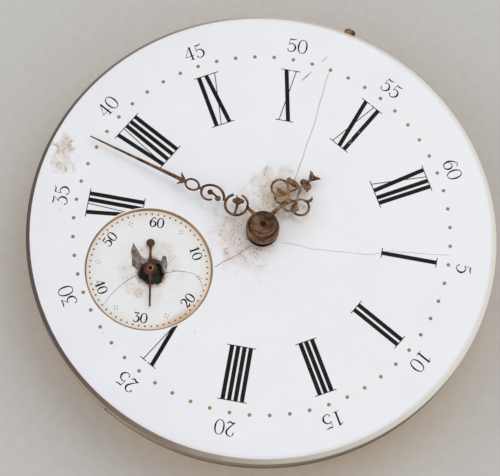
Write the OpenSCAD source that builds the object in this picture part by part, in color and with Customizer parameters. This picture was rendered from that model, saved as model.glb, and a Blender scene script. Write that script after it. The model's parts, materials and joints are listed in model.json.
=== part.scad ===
// Pocket watch movement with its enamel dial: a key-wound bar movement with a lever escapement.
// Millimetres. The dial faces +Z with XII along +Y, and the bars lie on z = 0.

/* [Dial] */
// Diameter of the enamel dial's white face
dial_d = 43; // [42:0.25:46]
// How far the dial's sloped edge runs out beyond the white face
dial_flare = 0.4; // [0.2:0.05:0.5]
// Thickness of the dial at its edge
dial_edge_t = 0.75; // [0.6:0.05:1]
// Rise of the dial's crown above its edge
dial_dome = 0.2; // [0.1:0.05:0.4]
// Diameter of the sunk seconds dial's opening
seconds_d = 11.6; // [10:0.1:12]
// Distance from the centre to the seconds arbor
seconds_dist = 11; // [10.9:0.05:11.6]
// Radius of the chipped hole round the seconds arbor
seconds_hole_r = 1.2; // [0.5:0.1:1.5]
// Diameter of the copper dial feet
dial_foot_d = 1; // [0.8:0.1:1.2]
// Distance of the dial feet in from the edge of the plate's body
dial_foot_inset = 3; // [2.6:0.1:3.6]

/* [Plate and bars] */
// How far the dial's edge stands out beyond the flange
dial_overhang = 0.1; // [0:0.05:0.3]
// Width of the flange's ledge, which rests on the case
ledge_w = 1.2; // [1:0.05:1.5]
// Height of the flange
flange_h = 1.9; // [1.85:0.05:2]
// Thickness of the plate's web
plate_t = 1.4; // [1.3:0.05:1.8]
// Space under the dial for the motion work
under_dial = 1; // [1:0.05:1.3]
// Space between the plate and the bars for the train
train_gap = 2.9; // [2.9:0.05:3.3]
// Thickness of the bars
bar_t = 1.4; // [1.3:0.05:1.7]
// Radius of a bar's foot
foot_r = 1.6; // [1.4:0.1:1.8]
// Radius of a bar's end over its pivot
bar_end_r = 1.5; // [1.3:0.1:1.7]
// Diameter of the jewels
jewel_d = 1.5; // [1.3:0.1:1.7]
// Diameter of the bar screws' heads
screw_head_d = 1.7; // [1.5:0.1:1.9]

/* [Barrel and winding] */
// Teeth on the barrel
barrel_teeth = 80; // [76:2:84]
// Outside diameter of the barrel drum
barrel_drum_d = 15; // [14:0.2:15.2]
// Wall of the barrel drum
barrel_wall = 0.35; // [0.3:0.05:0.5]
// Height of the barrel drum
barrel_h = 2.9; // [2.6:0.05:2.9]
// Turns of the mainspring
mainspring_turns = 7; // [5:1:8]
// Radius of the ratchet wheel at its tooth tips
ratchet_r = 3; // [2.6:0.1:3.2]
// Side of the winding square
winding_square = 1.5; // [1.3:0.1:1.6]
// Side of the hand-setting square
setting_square = 1; // [0.9:0.05:1.1]

/* [Train] */
// Module of the barrel and centre pinion teeth
barrel_module = 0.2; // [0.19:0.005:0.205]
// Module of the centre wheel and third pinion teeth
centre_module = 0.15; // [0.145:0.001:0.152]
// Module of the third wheel and fourth pinion teeth
third_module = 0.13; // [0.126:0.001:0.132]
// Module of the fourth wheel and escape pinion teeth
fourth_module = 0.11; // [0.105:0.001:0.112]
// Thickness of the train wheels
wheel_t = 0.3; // [0.2:0.05:0.35]
// Radius of the escape wheel at its tooth tips
escape_r = 2.8; // [2.5:0.05:2.85]
// Radius of the balance over its screws
balance_r = 6.4; // [6:0.1:6.6]
// Turns of the hairspring's spiral
hairspring_turns = 5; // [3:1:5]

/* [Hands] */
// Reach of the minute hand
minute_hand_l = 18.5; // [17:0.25:19]
// Droop of the minute hand towards the dial, in degrees
minute_hand_droop = 4; // [2:0.25:4.2]
// Radius of the hour hand's boss
hour_boss_r = 1.55; // [1.4:0.05:1.8]
// Radius of the minute hand's boss
minute_boss_r = 1.1; // [1:0.05:1.3]
// Length of the seconds hand's pointer
seconds_hand_l = 3.65; // [3:0.05:4.2]
// Thickness of the pierced hands
hand_t = 0.2; // [0.15:0.01:0.25]
// Hour hand, degrees clockwise from XII
hour_hand_at = 333; // [0:1:359]
// Minute hand, degrees clockwise from XII
minute_hand_at = 229.8; // [0:0.2:359.8]
// Seconds hand, degrees clockwise from XII
seconds_hand_at = 110.2; // [0:0.2:359.8]

/* [Fits] */
// Radial clearance of pieces that turn
run_gap = 0.03; // [0.02:0.01:0.05]
// Radial clearance of pieces that stay put
seat_gap = 0.01; // [0.005:0.005:0.02]
// Clearance along the arbors between pieces that turn
shake = 0.15; // [0.1:0.01:0.18]
// Space kept between a wheel and a bar's foot
foot_gap = 0.6; // [0.4:0.1:0.8]

/* [Hidden] */
$fn = 64;
BRASS = "#b5904a";
GILT = "#c9a55c";
STEEL = "#8d8f94";
BLUED = "#2c3a63";
RUBY = "#a3183a";
ENAMEL = "#ecedf0";
COPPER = "#a8643c";
BRONZE = "#6b4a32";

// Heights of the layers, from the bars up to the dial
plate_z = bar_t + train_gap;
web_z = plate_z + plate_t;
seat_z = web_z + under_dial;
flange_z = seat_z - flange_h;
flange_d = dial_d + 2 * (dial_flare - dial_overhang);
plate_d = flange_d - 2 * ledge_w;
dial_foot_ring = plate_d / 2 - dial_foot_inset;
dial_top_z = seat_z + dial_edge_t + dial_dome;
cut = 0.5;

// Teeth counts that fix the going ratios
pinion_leaves = 10;
centre_teeth = 80;
third_teeth = 75;
fourth_teeth = 80;
escape_leaves = 8;
escape_teeth = 15;
cannon_leaves = 12;
minute_teeth = 36;
minute_leaves = 10;
hour_teeth = 40;
motion_module = 0.15;
hour_module = motion_module * (cannon_leaves + minute_teeth) / (minute_leaves + hour_teeth);
wheel_addendum = 1.1;
pinion_addendum = 0.8;

function polar(r, a) = [r * cos(a), r * sin(a)];
function heading(p, q) = atan2(q[1] - p[1], q[0] - p[0]);
function tip_r(teeth, module_mm, addendum) = teeth * module_mm / 2 + addendum * module_mm;
function spacing(a, b, module_mm) = (a + b) * module_mm / 2;
// Corner of a triangle on p and q with the given sides, to the left of the way from q to p
function corner(p, q, rp, rq) =
    let (d = norm(q - p), a = (rp * rp - rq * rq + d * d) / (2 * d), h = sqrt(rp * rp - a * a), u = (q - p) / d)
    p + a * u + h * [-u[1], u[0]];

// Tip radii of the wheels
barrel_tip = tip_r(barrel_teeth, barrel_module, wheel_addendum);
centre_tip = tip_r(centre_teeth, centre_module, wheel_addendum);
third_tip = tip_r(third_teeth, third_module, wheel_addendum);
fourth_tip = tip_r(fourth_teeth, fourth_module, wheel_addendum);

// Places of the arbors
barrel_dir = 60;
escape_dir = 165;
balance_dir = 205;
minute_dir = 150;
C = [0, 0];
F = [0, -seconds_dist];
B = polar(spacing(barrel_teeth, pinion_leaves, barrel_module), barrel_dir);
T = corner(C, F, spacing(centre_teeth, pinion_leaves, centre_module),
           spacing(third_teeth, pinion_leaves, third_module));
E = F + polar(spacing(fourth_teeth, escape_leaves, fourth_module), escape_dir);
balance_clear = 0.45;
A = polar(centre_tip + balance_r + balance_clear, balance_dir);
pallet_span = 60;
lever_dir = heading(E, A);
P = E + polar(escape_r / cos(pallet_span / 2), lever_dir);
M = polar(spacing(cannon_leaves, minute_teeth, motion_module), minute_dir);

// Places of the bars' feet, each clear of the wheel it stands beside
bar_feet = [
    B + polar(barrel_tip + foot_r + foot_gap, barrel_dir + 90),
    B + polar(barrel_tip + foot_r + foot_gap, barrel_dir - 90),
    C + polar(centre_tip + foot_r + foot_gap, 160),
    T + polar(third_tip + foot_r + foot_gap, -7),
    F + polar(fourth_tip + foot_r + foot_gap, -40),
    E + polar(escape_r + foot_r + foot_gap, -100)
];
cock_foot_r = 2;
cock_dir = 105;
cock_foot = A + polar(balance_r + cock_foot_r + foot_gap + 0.4, cock_dir);
pallet_foot_r = 1.1;
pallet_foot = P + polar(3.3, lever_dir + 90);
dial_foot_dirs = [35, 150, 300];
case_screw_dirs = [75, 240];

// Heights of the train
centre_wheel_z = bar_t + shake;
barrel_z = centre_wheel_z + wheel_t + shake;
barrel_tooth_t = 0.5;
fourth_wheel_z = barrel_z + 0.4;
third_wheel_z = plate_z - 0.55 - wheel_t;
lever_t = 0.22;
lever_z = plate_z - 0.65 - lever_t;
escape_wheel_t = 0.18;
escape_wheel_z = lever_z + (lever_t - escape_wheel_t) / 2;
pallet_cock_t = 0.4;
pallet_cock_z = lever_z - shake - pallet_cock_t;
cock_arm_z = 0.5;
cock_arm_t = 0.7;
hairspring_z = cock_arm_z + cock_arm_t + 0.2;
hairspring_h = 0.2;
arms_z = hairspring_z + hairspring_h + 0.4;
arms_t = 0.3;
rim_z = arms_z - 0.2;
rim_h = 0.8;
rim_w = 0.7;
balance_screw_h = 0.45;
rim_r = balance_r - balance_screw_h;
roller_z = lever_z - 0.15 - 0.2;

// Heights of the motion work and the hands
cannon_z = web_z + 0.05;
motion_t = 0.25;
minute_pinion_t = 0.4;
hour_wheel_z = cannon_z + 0.45;
hour_boss_z = dial_top_z + 0.75;
hour_boss_h = 0.65;
hand_up = 0.12;
minute_boss_z = hour_boss_z + hour_boss_h + 0.06;
minute_boss_h = 1.15;
seconds_sink = 0.2;
seconds_dial_t = 0.6;
seconds_top_z = seat_z + dial_edge_t - seconds_sink + dial_dome / 2;
seconds_hand_z = seconds_top_z + 0.4;

// Shafts and pipes at the centre
set_r = 0.4;
centre_bore_r = set_r + run_gap;
centre_pivot_r = 0.62;
cannon_pipe_r = 0.66;
hour_bore_r = cannon_pipe_r + run_gap;
hour_pipe_r = 1;
dial_hole_r = hour_pipe_r + 0.25;
pivot_r = 0.14;
seconds_pivot_r = 0.2;
arbor_r = 0.36;
square_top_z = 0.05;
square_floor_z = 0.95;

// Screws, jewels and wells
screw_r = 0.5;
screw_head_h = 0.45;
screw_sink = 0.03;
pallet_head_h = 0.2;
slot_w = 0.22;
slot_h = 0.2;
jewel_t = 0.4;
jewel_sink = 0.3;
jewel_r = jewel_d / 2;

// Row of tooth outline points, with tooth 0 along +X
function gear_points(teeth, module_mm, addendum, dedendum, fill) =
    let (rp = teeth * module_mm / 2, step = 360 / teeth, half = fill * step / 2,
         root = rp - dedendum * module_mm, tip = rp + addendum * module_mm)
    [for (i = [0 : teeth - 1], k = [[root, -1.05], [rp, -1], [tip, -0.4], [tip, 0.4], [rp, 1], [root, 1.05]])
        polar(k[0], i * step + k[1] * half)];

// Saw teeth with their steep faces on the clockwise side
function ratchet_points(teeth, r, depth) =
    [for (i = [0 : teeth - 1], k = [[r - depth, 0], [r, 0], [r, 0.12]])
        polar(k[0], (i + k[1]) * 360 / teeth)];

// Club teeth of the escape wheel
function escape_points(teeth, r, depth) =
    [for (i = [0 : teeth - 1], k = [[r - depth, -0.06], [r, 0.22], [r - 0.08, 0.34], [r - depth, 0.16]])
        polar(k[0], (i + k[1]) * 360 / teeth)];

// Outline of a flat spiral ribbon that ends in an arc of steady radius
function ribbon_points(r0, pitch, turns, arc, width, finish) =
    let (start = finish - arc - 360 * turns, n = ceil((360 * turns + arc) / 10),
         at = [for (i = [0 : n]) start + (360 * turns + arc) * i / n],
         rad = [for (a = at) r0 + pitch * min(turns, (a - start) / 360)])
    concat([for (i = [0 : n]) polar(rad[i] + width / 2, at[i])],
           [for (i = [n : -1 : 0]) polar(rad[i] - width / 2, at[i])]);

// Least gap between one turn of a ribbon and the next, measured on its points
function ribbon_gap(pts) =
    let (n = len(pts) / 2)
    min([for (i = [0 : n - 37]) norm(pts[2 * n - 1 - (i + 36)] - pts[i])]);

module at(p, z = 0) {
    translate([p[0], p[1], z])
        children();
}

module rod(r, z0, z1) {
    translate([0, 0, z0])
        cylinder(r = r, h = z1 - z0);
}

module block(side, z0, z1) {
    translate([-side / 2, -side / 2, z0])
        cube([side, side, z1 - z0]);
}

// Flat bar with round ends, tangent to both end circles
module strap(p, q, rp, rq, z0, z1) {
    d = norm(q - p);
    lean = acos((rp - rq) / d);
    dir = heading(p, q);
    translate([0, 0, z0])
        linear_extrude(z1 - z0)
            polygon([p + polar(rp, dir + lean), p + polar(rp, dir - lean),
                     q + polar(rq, dir - lean), q + polar(rq, dir + lean)]);
    at(p)
        rod(rp, z0, z1);
    at(q)
        rod(rq, z0, z1);
}

// Flat tapered bar with square ends, by its half widths
module needle(p, q, hp, hq, t) {
    dir = heading(p, q);
    linear_extrude(t)
        polygon([p + polar(hp, dir + 90), p + polar(hp, dir - 90),
                 q + polar(hq, dir - 90), q + polar(hq, dir + 90)]);
}

// Part of a ring of square section, from angle a0 over the given sweep
module arc_bar(c, r, a0, sweep, w, t) {
    translate([c[0], c[1], 0])
        rotate(a0)
            rotate_extrude(angle = sweep)
                translate([r - w / 2, 0])
                    square([w, t]);
}

module toothed(pts, z, t) {
    translate([0, 0, z])
        linear_extrude(t)
            polygon(pts);
}

// Spoked wheel with a tooth pointing along face_dir
module wheel(teeth, module_mm, z, t, bore_r, hub_r, spokes, face_dir) {
    root = teeth * module_mm / 2 - 1.3 * module_mm;
    rim_in = root - 2.2 * module_mm;
    spoke_w = 0.13 * rim_in;
    difference() {
        rotate(face_dir)
            toothed(gear_points(teeth, module_mm, wheel_addendum, 1.3, 0.44), z, t);
        difference() {
            rod(rim_in, z - cut, z + t + cut);
            rod(hub_r, z - 2 * cut, z + t + 2 * cut);
            for (i = [0 : spokes - 1])
                rotate(i * 360 / spokes + 20)
                    translate([0, -spoke_w / 2, z - 2 * cut])
                        cube([rim_in + cut, spoke_w, t + 4 * cut]);
        }
        rod(bore_r, z - cut, z + t + cut);
    }
}

// Leaves of a pinion with a gap facing face_dir
module leaves(teeth, module_mm, z0, z1, face_dir) {
    rotate(face_dir + 180 / teeth)
        toothed(gear_points(teeth, module_mm, pinion_addendum, 1.4, 0.36), z0, z1 - z0);
}

// Slotted screw whose head's face looks to -Z at height z
module screw(head_r, head_h, shank_r, length, turn, z) {
    difference() {
        union() {
            rod(head_r, z, z + head_h);
            rod(shank_r, z + head_h, z + length);
        }
        rotate(turn)
            translate([-head_r - cut, -slot_w / 2, z - cut])
                cube([2 * head_r + 2 * cut, slot_w, slot_h + cut]);
    }
}

// Hole and head sink for a bar screw
module screw_hole(depth) {
    rod(screw_head_d / 2 + run_gap, -cut, screw_sink + screw_head_h);
    rod(screw_r + seat_gap, 0, depth);
}

// Seat of a jewel in a bar, with an oil sink outside and a free hole inside
module jewel_seat(z, through_z) {
    rod(jewel_r + 0.15, z - jewel_sink - cut, z);
    rod(jewel_r + seat_gap, z - 0.01, z + jewel_t);
    rod(0.45, z, through_z);
}

module jewel(z, hole_r) {
    difference() {
        rod(jewel_r, z, z + jewel_t);
        rod(hole_r, z - cut, z + jewel_t + cut);
    }
}

// Bar that carries one pivot at the end of an arm
module pivot_bar(foot, pivot) {
    difference() {
        union() {
            strap(foot, pivot, foot_r, bar_end_r, 0, bar_t);
            at(foot)
                rod(foot_r, 0, plate_z);
        }
        at(foot)
            screw_hole(plate_z + cut);
        at(pivot)
            jewel_seat(jewel_sink, bar_t + cut);
    }
}

module main_plate() {
    color(GILT)
        difference() {
            union() {
                rod(plate_d / 2, plate_z, web_z);
                rod(flange_d / 2, flange_z, seat_z);
            }
            rod(plate_d / 2 - 1, web_z, seat_z + cut);
            at(B)
                rod(barrel_tip + 2 * shake, plate_z - cut, barrel_z + barrel_h + shake);
            at(B)
                rod(barrel_pivot_r + run_gap, plate_z, web_z + cut);
            rod(centre_pivot_r + run_gap, plate_z - cut, web_z + cut);
            for (p = [T, E, P, A])
                at(p)
                    plate_seat(0.45);
            at(F)
                plate_seat(seconds_pivot_r + 0.1);
            at(M)
                rod(minute_post_r + seat_gap, plate_z - cut, web_z + cut);
            for (p = concat(bar_feet, [cock_foot, pallet_foot]))
                at(p)
                    rod(screw_r + seat_gap, plate_z - cut, plate_z + screw_depth + 0.1);
            for (a = dial_foot_dirs) {
                at(polar(dial_foot_ring, a))
                    rod(dial_foot_d / 2 + run_gap, plate_z - cut, web_z + cut);
                foot_screw_place(a)
                    foot_screw_hole();
            }
            for (a = case_screw_dirs)
                at(polar(case_screw_ring, a))
                    rod(screw_r + seat_gap, plate_z - cut, plate_z + screw_depth + 0.1);
            case_pin_place()
                rod(case_pin_r + seat_gap, case_pin_in, flange_d);
            for (side = [-1, 1])
                at(banking_place(side))
                    rod(banking_r + seat_gap, plate_z - cut, plate_z + banking_depth);
        }
}

// Jewel seat in the plate, open to both sides
module plate_seat(hole_r) {
    rod(jewel_r + seat_gap, plate_z - cut, plate_z + jewel_t);
    rod(hole_r, plate_z, web_z + cut);
}

// Small sizes of what sits in the plate
minute_post_r = 0.4;
screw_depth = 1;
case_screw_inset = 1.7;
case_screw_ring = plate_d / 2 - case_screw_inset;
case_pin_dir = 137.5;
case_pin_r = 0.55;
case_pin_in = plate_d / 2 - 0.9;
case_pin_out = dial_d / 2 + 1.15;
case_pin_drop = 0.7;
case_pin_z = seat_z - case_pin_drop;
foot_screw_r = 0.28;
foot_screw_head_r = 0.42;
foot_screw_head_h = 0.4;
foot_screw_floor = 0.08;
foot_screw_z = flange_z + foot_screw_head_r + foot_screw_floor;
foot_screw_out = flange_d / 2;
barrel_pivot_r = 0.9;
winding_r = 1.15;
banking_r = 0.12;
banking_depth = 0.5;
function banking_place(side) = P + polar(2.4, lever_dir + side * 15);

module case_pin_place() {
    rotate(case_pin_dir)
        translate([0, 0, case_pin_z])
            rotate([0, 90, 0])
                children();
}

module foot_screw_place(a) {
    rotate(a)
        translate([0, 0, foot_screw_z])
            rotate([0, 90, 0])
                children();
}

foot_screw_in = dial_foot_ring + dial_foot_d / 2 + run_gap;

module foot_screw_hole() {
    rod(foot_screw_r + seat_gap, foot_screw_in - 0.3, foot_screw_out + cut);
    rod(foot_screw_head_r + run_gap, foot_screw_out - foot_screw_head_h - 0.1, foot_screw_out + cut);
}

module barrel_bridge() {
    table_r = recess_r + 0.6;
    color(GILT)
        difference() {
            union() {
                strap(bar_feet[0], bar_feet[1], foot_r, foot_r, 0, bar_t);
                at(B)
                    rod(table_r, 0, bar_t);
                for (i = [0, 1])
                    at(bar_feet[i])
                        rod(foot_r, 0, plate_z);
            }
            at(B) {
                rod(recess_r, -cut, square_floor_z);
                rod(winding_r + run_gap, 0, bar_t + cut);
            }
            for (i = [0, 1])
                at(bar_feet[i])
                    screw_hole(plate_z + cut);
            at(click_pivot)
                rod(click_screw_r + seat_gap, 0, bar_t + cut);
            at(click_spring_foot)
                rod(click_screw_r + seat_gap, 0, bar_t + cut);
        }
}

module centre_bar() {
    color(GILT)
        difference() {
            union() {
                strap(bar_feet[2], C, foot_r, bar_end_r + 0.2, 0, bar_t);
                at(bar_feet[2])
                    rod(foot_r, 0, plate_z);
            }
            at(bar_feet[2])
                screw_hole(plate_z + cut);
            rod(1.1, -cut, square_floor_z);
            rod(centre_pivot_r + run_gap, 0, bar_t + cut);
        }
}

module third_bar() {
    color(GILT)
        pivot_bar(bar_feet[3], T);
}

module fourth_bar() {
    color(GILT)
        pivot_bar(bar_feet[4], F);
}

module escape_bar() {
    color(GILT)
        pivot_bar(bar_feet[5], E);
}

module pallet_cock() {
    color(GILT)
        difference() {
            union() {
                strap(pallet_foot, P, pallet_foot_r, pallet_foot_r - 0.1, pallet_cock_z,
                      pallet_cock_z + pallet_cock_t);
                at(pallet_foot)
                    rod(pallet_foot_r, pallet_cock_z, plate_z);
            }
            at(pallet_foot)
                rod(screw_r + seat_gap, pallet_cock_z - cut, plate_z + cut);
            at(P)
                rod(jewel_r + seat_gap, pallet_cock_z - cut, pallet_cock_z + pallet_cock_t + cut);
        }
}

cock_end_r = 2.3;
cap_r = 1.2;
cap_t = 0.4;

module balance_cock() {
    color(GILT)
        difference() {
            union() {
                strap(cock_foot, A, cock_foot_r, cock_end_r, cock_arm_z, cock_arm_z + cock_arm_t);
                at(cock_foot)
                    rod(cock_foot_r, 0, plate_z);
            }
            at(cock_foot)
                screw_hole(plate_z + cut);
            at(A) {
                rod(jewel_r + seat_gap, cock_arm_z - cut, cock_arm_z + jewel_t);
                rod(0.45, cock_arm_z, cock_arm_z + cock_arm_t + cut);
            }
            at(stud_place)
                rod(stud_r + seat_gap, cock_arm_z - cut, cock_arm_z + cock_arm_t + cut);
        }
}

// Hairspring, its stud and the index that sets its working length
collet_r = 0.75;
hairspring_w = 0.09;
hairspring_pitch = 0.66;
hairspring_r0 = collet_r + 0.06;
hairspring_arc = 85;
hairspring_r = hairspring_r0 + hairspring_pitch * hairspring_turns;
hairspring_pts = ribbon_points(hairspring_r0, hairspring_pitch, hairspring_turns, hairspring_arc,
                               hairspring_w, cock_dir - 2.4);
stud_r = 0.25;
stud_place = A + polar(hairspring_r, cock_dir + 2);
curb_dir = cock_dir - 55;
curb_r = 0.08;
curb_gap = 0.06;
index_t = 0.3;
index_z = cock_arm_z - 0.05 - index_t;

module hairspring() {
    color(BLUED)
        at(A)
            toothed(hairspring_pts, hairspring_z, hairspring_h);
}

module hairspring_stud() {
    color(STEEL)
        at(stud_place)
            rod(stud_r, cock_arm_z - 0.1, hairspring_z + hairspring_h + 0.1);
}

module hairspring_collet() {
    color(BRASS)
        at(A)
            difference() {
                rod(collet_r, hairspring_z - 0.05, hairspring_z + hairspring_h + 0.15);
                rod(arbor_r + seat_gap, hairspring_z - cut, hairspring_z + hairspring_h + cut);
            }
}

module regulator() {
    color(STEEL)
        at(A)
            difference() {
                union() {
                    rod(cap_r + 0.7, index_z, index_z + index_t);
                    strap(polar(cap_r + 0.3, cock_dir), polar(6.2, cock_dir), 0.5, 0.15, index_z, index_z + index_t);
                    strap(polar(cap_r + 0.3, curb_dir), polar(hairspring_r, curb_dir), 0.5, 0.45,
                          index_z, index_z + index_t);
                    for (side = [-1, 1])
                        at(polar(hairspring_r + side * (hairspring_w / 2 + curb_gap + curb_r), curb_dir))
                            rod(curb_r, index_z, hairspring_z + hairspring_h + 0.05);
                }
                rod(cap_r + run_gap, index_z - cut, index_z + index_t + cut);
            }
}

module cap_jewel() {
    color(RUBY)
        at(A)
            rod(cap_r, cock_arm_z - cap_t, cock_arm_z);
}

module jewels() {
    color(RUBY) {
        for (p = [T, F, E])
            at(p)
                jewel(jewel_sink, pivot_r + run_gap);
        at(A)
            jewel(cock_arm_z, pivot_r + run_gap);
        at(P)
            jewel(pallet_cock_z, pivot_r + run_gap);
        for (p = [T, E, P, A])
            at(p)
                jewel(plate_z, pivot_r + run_gap);
        at(F)
            jewel(plate_z, seconds_pivot_r + run_gap);
    }
}

module bar_screws() {
    color(BLUED) {
        for (i = [0 : len(bar_feet) - 1])
            at(bar_feet[i])
                screw(screw_head_d / 2, screw_head_h, screw_r, plate_z + screw_depth, 35 * i, screw_sink);
        at(cock_foot)
            screw(screw_head_d / 2, screw_head_h, screw_r, plate_z + screw_depth, 80, screw_sink);
        at(pallet_foot)
            screw(screw_head_d / 2, pallet_head_h, screw_r, plate_z + screw_depth - pallet_cock_z + pallet_head_h,
                  10, pallet_cock_z - pallet_head_h);
    }
}

module case_screws() {
    color(BLUED)
        for (a = case_screw_dirs)
            at(polar(case_screw_ring, a))
                screw(1.2, 0.5, screw_r, screw_depth + 0.5, a, plate_z - 0.5);
}

module case_pin() {
    color(BRASS)
        case_pin_place()
            rod(case_pin_r, case_pin_in, case_pin_out);
}

module banking_pins() {
    color(BRASS)
        for (side = [-1, 1])
            at(banking_place(side))
                rod(banking_r, lever_z - 0.05, plate_z + banking_depth - 0.05);
}

// Ratchet and click, sunk in the barrel bridge
ratchet_teeth = 36;
ratchet_depth = 0.25;
ratchet_t = 0.4;
ratchet_z = square_floor_z - shake / 3 - ratchet_t;
click_reach = ratchet_r + 1.4;
recess_r = click_reach + 0.95;
click_r = 0.65;
click_screw_r = 0.3;
click_dir = 60;
click_lead = 20;
click_pivot = B + polar(click_reach, click_dir);
click_tip = B + polar(ratchet_r - ratchet_depth + 0.06, click_dir + click_lead);
click_back = B + polar(ratchet_r + 0.55, click_dir + click_lead);
click_spring_foot = B + polar(click_reach, click_dir + 110);
spring_w = 0.16;

module ratchet_wheel() {
    color(STEEL)
        at(B)
            difference() {
                rotate(click_dir + click_lead + 0.6)
                    toothed(ratchet_points(ratchet_teeth, ratchet_r, ratchet_depth), ratchet_z, ratchet_t);
                block(winding_square + 2 * seat_gap, ratchet_z - cut, ratchet_z + ratchet_t + cut);
            }
}

module click() {
    color(STEEL)
        difference() {
            union() {
                at(click_pivot)
                    rod(click_r, ratchet_z, ratchet_z + ratchet_t);
                translate([0, 0, ratchet_z])
                    linear_extrude(ratchet_t)
                        polygon([click_pivot + polar(click_r, click_dir - 125), click_tip,
                                 click_back, click_pivot + polar(click_r, click_dir + 90)]);
            }
            at(click_pivot)
                rod(click_screw_r + run_gap, ratchet_z - cut, ratchet_z + ratchet_t + cut);
        }
}

module click_screw() {
    color(BLUED)
        at(click_pivot)
            screw(0.55, 0.3, click_screw_r, bar_t - ratchet_z + 0.3 + run_gap, 20, ratchet_z - 0.3 - run_gap);
}

module click_spring() {
    reach = ratchet_r + 0.75 + spring_w / 2;
    color(BLUED)
        difference() {
            union() {
                at(click_spring_foot)
                    rod(0.65, ratchet_z, square_floor_z);
                at(B, ratchet_z)
                    arc_bar([0, 0], reach, click_dir + click_lead + 1, 108 - click_lead, spring_w, ratchet_t);
            }
            at(click_spring_foot)
                rod(click_screw_r + seat_gap, ratchet_z - cut, square_floor_z + cut);
        }
}

module click_spring_screw() {
    color(BLUED)
        at(click_spring_foot)
            screw(0.55, 0.3, click_screw_r, bar_t - ratchet_z + 0.3, 70, ratchet_z - 0.3);
}

// Going barrel
drum_r = barrel_drum_d / 2;
barrel_floor = 0.4;
cover_t = 0.3;
core_r = 1.7;
mainspring_w = 0.16;
mainspring_r0 = core_r + mainspring_w / 2 + 0.02;
mainspring_pitch = (drum_r - barrel_wall - mainspring_w / 2 - 0.03 - mainspring_r0) / mainspring_turns;
mainspring_pts = ribbon_points(mainspring_r0, mainspring_pitch, mainspring_turns, 0, mainspring_w, 0);

module barrel() {
    color(BRASS)
        at(B)
            difference() {
                union() {
                    rod(drum_r, barrel_z, barrel_z + barrel_h);
                    rotate(heading(B, C))
                        toothed(gear_points(barrel_teeth, barrel_module, wheel_addendum, 1.3, 0.44),
                                barrel_z + 0.1, barrel_tooth_t);
                }
                rod(drum_r - barrel_wall, barrel_z + barrel_floor, barrel_z + barrel_h + cut);
                rod(winding_r + run_gap, barrel_z - cut, barrel_z + barrel_h);
            }
}

module barrel_cover() {
    color(BRASS)
        at(B)
            difference() {
                rod(drum_r - barrel_wall - seat_gap, barrel_z + barrel_h - cover_t, barrel_z + barrel_h);
                rod(barrel_pivot_r + run_gap, barrel_z, barrel_z + barrel_h + cut);
            }
}

module mainspring() {
    color(STEEL)
        at(B)
            toothed(mainspring_pts, barrel_z + barrel_floor + 0.1, barrel_h - barrel_floor - cover_t - 0.2);
}

module barrel_arbor() {
    color(STEEL)
        at(B) {
            block(winding_square, square_top_z, square_floor_z);
            rod(winding_r, square_floor_z, barrel_z + barrel_floor + 0.05);
            rod(core_r, barrel_z + barrel_floor + 0.05, barrel_z + barrel_h - cover_t - 0.05);
            rod(barrel_pivot_r, barrel_z + barrel_h - cover_t - 0.05, web_z - 0.1);
        }
}

// Centre wheel on its hollow pinion, with the hand-setting arbor inside
module centre_wheel() {
    color(BRASS)
        wheel(centre_teeth, centre_module, centre_wheel_z, wheel_t, centre_seat_r + seat_gap, 1.5, 5, heading(C, T));
}

centre_seat_r = 0.66;

module centre_pinion() {
    color(STEEL)
        difference() {
            union() {
                rod(centre_pivot_r, square_floor_z + 0.05, web_z);
                rod(centre_seat_r, centre_wheel_z - shake / 2, centre_wheel_z + wheel_t);
                leaves(pinion_leaves, barrel_module, centre_wheel_z + wheel_t, plate_z - shake, heading(C, B));
            }
            rod(centre_bore_r, 0, web_z + cut);
        }
}

module set_arbor() {
    color(STEEL) {
        rod(set_r, square_floor_z, minute_boss_z + minute_boss_h - 0.35);
        block(setting_square, square_top_z, square_floor_z);
    }
}

module cannon_pinion() {
    color(STEEL)
        difference() {
            union() {
                leaves(cannon_leaves, motion_module, cannon_z, cannon_z + 0.4, heading(C, M));
                rod(cannon_pipe_r, cannon_z, minute_boss_z + 0.5);
            }
            rod(set_r + seat_gap, cannon_z - cut, minute_boss_z + minute_boss_h);
        }
}

module minute_wheel() {
    color(BRASS)
        at(M)
            wheel(minute_teeth, motion_module, cannon_z + 0.05, motion_t, minute_post_r + run_gap, 1, 3, heading(M, C));
}

module minute_pinion() {
    color(STEEL)
        at(M)
            difference() {
                leaves(minute_leaves, hour_module, cannon_z + 0.05 + motion_t,
                       cannon_z + 0.05 + motion_t + minute_pinion_t, heading(M, C));
                rod(minute_post_r + run_gap, cannon_z, seat_z);
            }
}

module minute_wheel_stud() {
    color(STEEL)
        at(M)
            rod(minute_post_r, plate_z + 0.1, seat_z - 0.12);
}

module hour_wheel() {
    color(BRASS) {
        wheel(hour_teeth, hour_module, hour_wheel_z, motion_t, hour_bore_r, 1.5, 4, heading(C, M));
        difference() {
            rod(hour_pipe_r, hour_wheel_z, hour_boss_z + 0.4);
            rod(hour_bore_r, hour_wheel_z - cut, hour_boss_z + 1);
        }
    }
}

// Train arbors
module third_wheel() {
    color(BRASS)
        at(T)
            wheel(third_teeth, third_module, third_wheel_z, wheel_t, arbor_r + seat_gap, 1, 5, heading(T, F));
}

module third_pinion() {
    color(STEEL)
        at(T) {
            rod(pivot_r, jewel_sink + 0.05, plate_z + jewel_t - 0.05);
            rod(arbor_r, bar_t - 0.2, plate_z - shake);
            leaves(pinion_leaves, centre_module, bar_t + shake / 2, centre_wheel_z + wheel_t + 0.3, heading(T, C));
        }
}

module fourth_wheel() {
    color(BRASS)
        at(F)
            wheel(fourth_teeth, fourth_module, fourth_wheel_z, wheel_t, arbor_r + seat_gap, 1, 5, heading(F, E));
}

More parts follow.
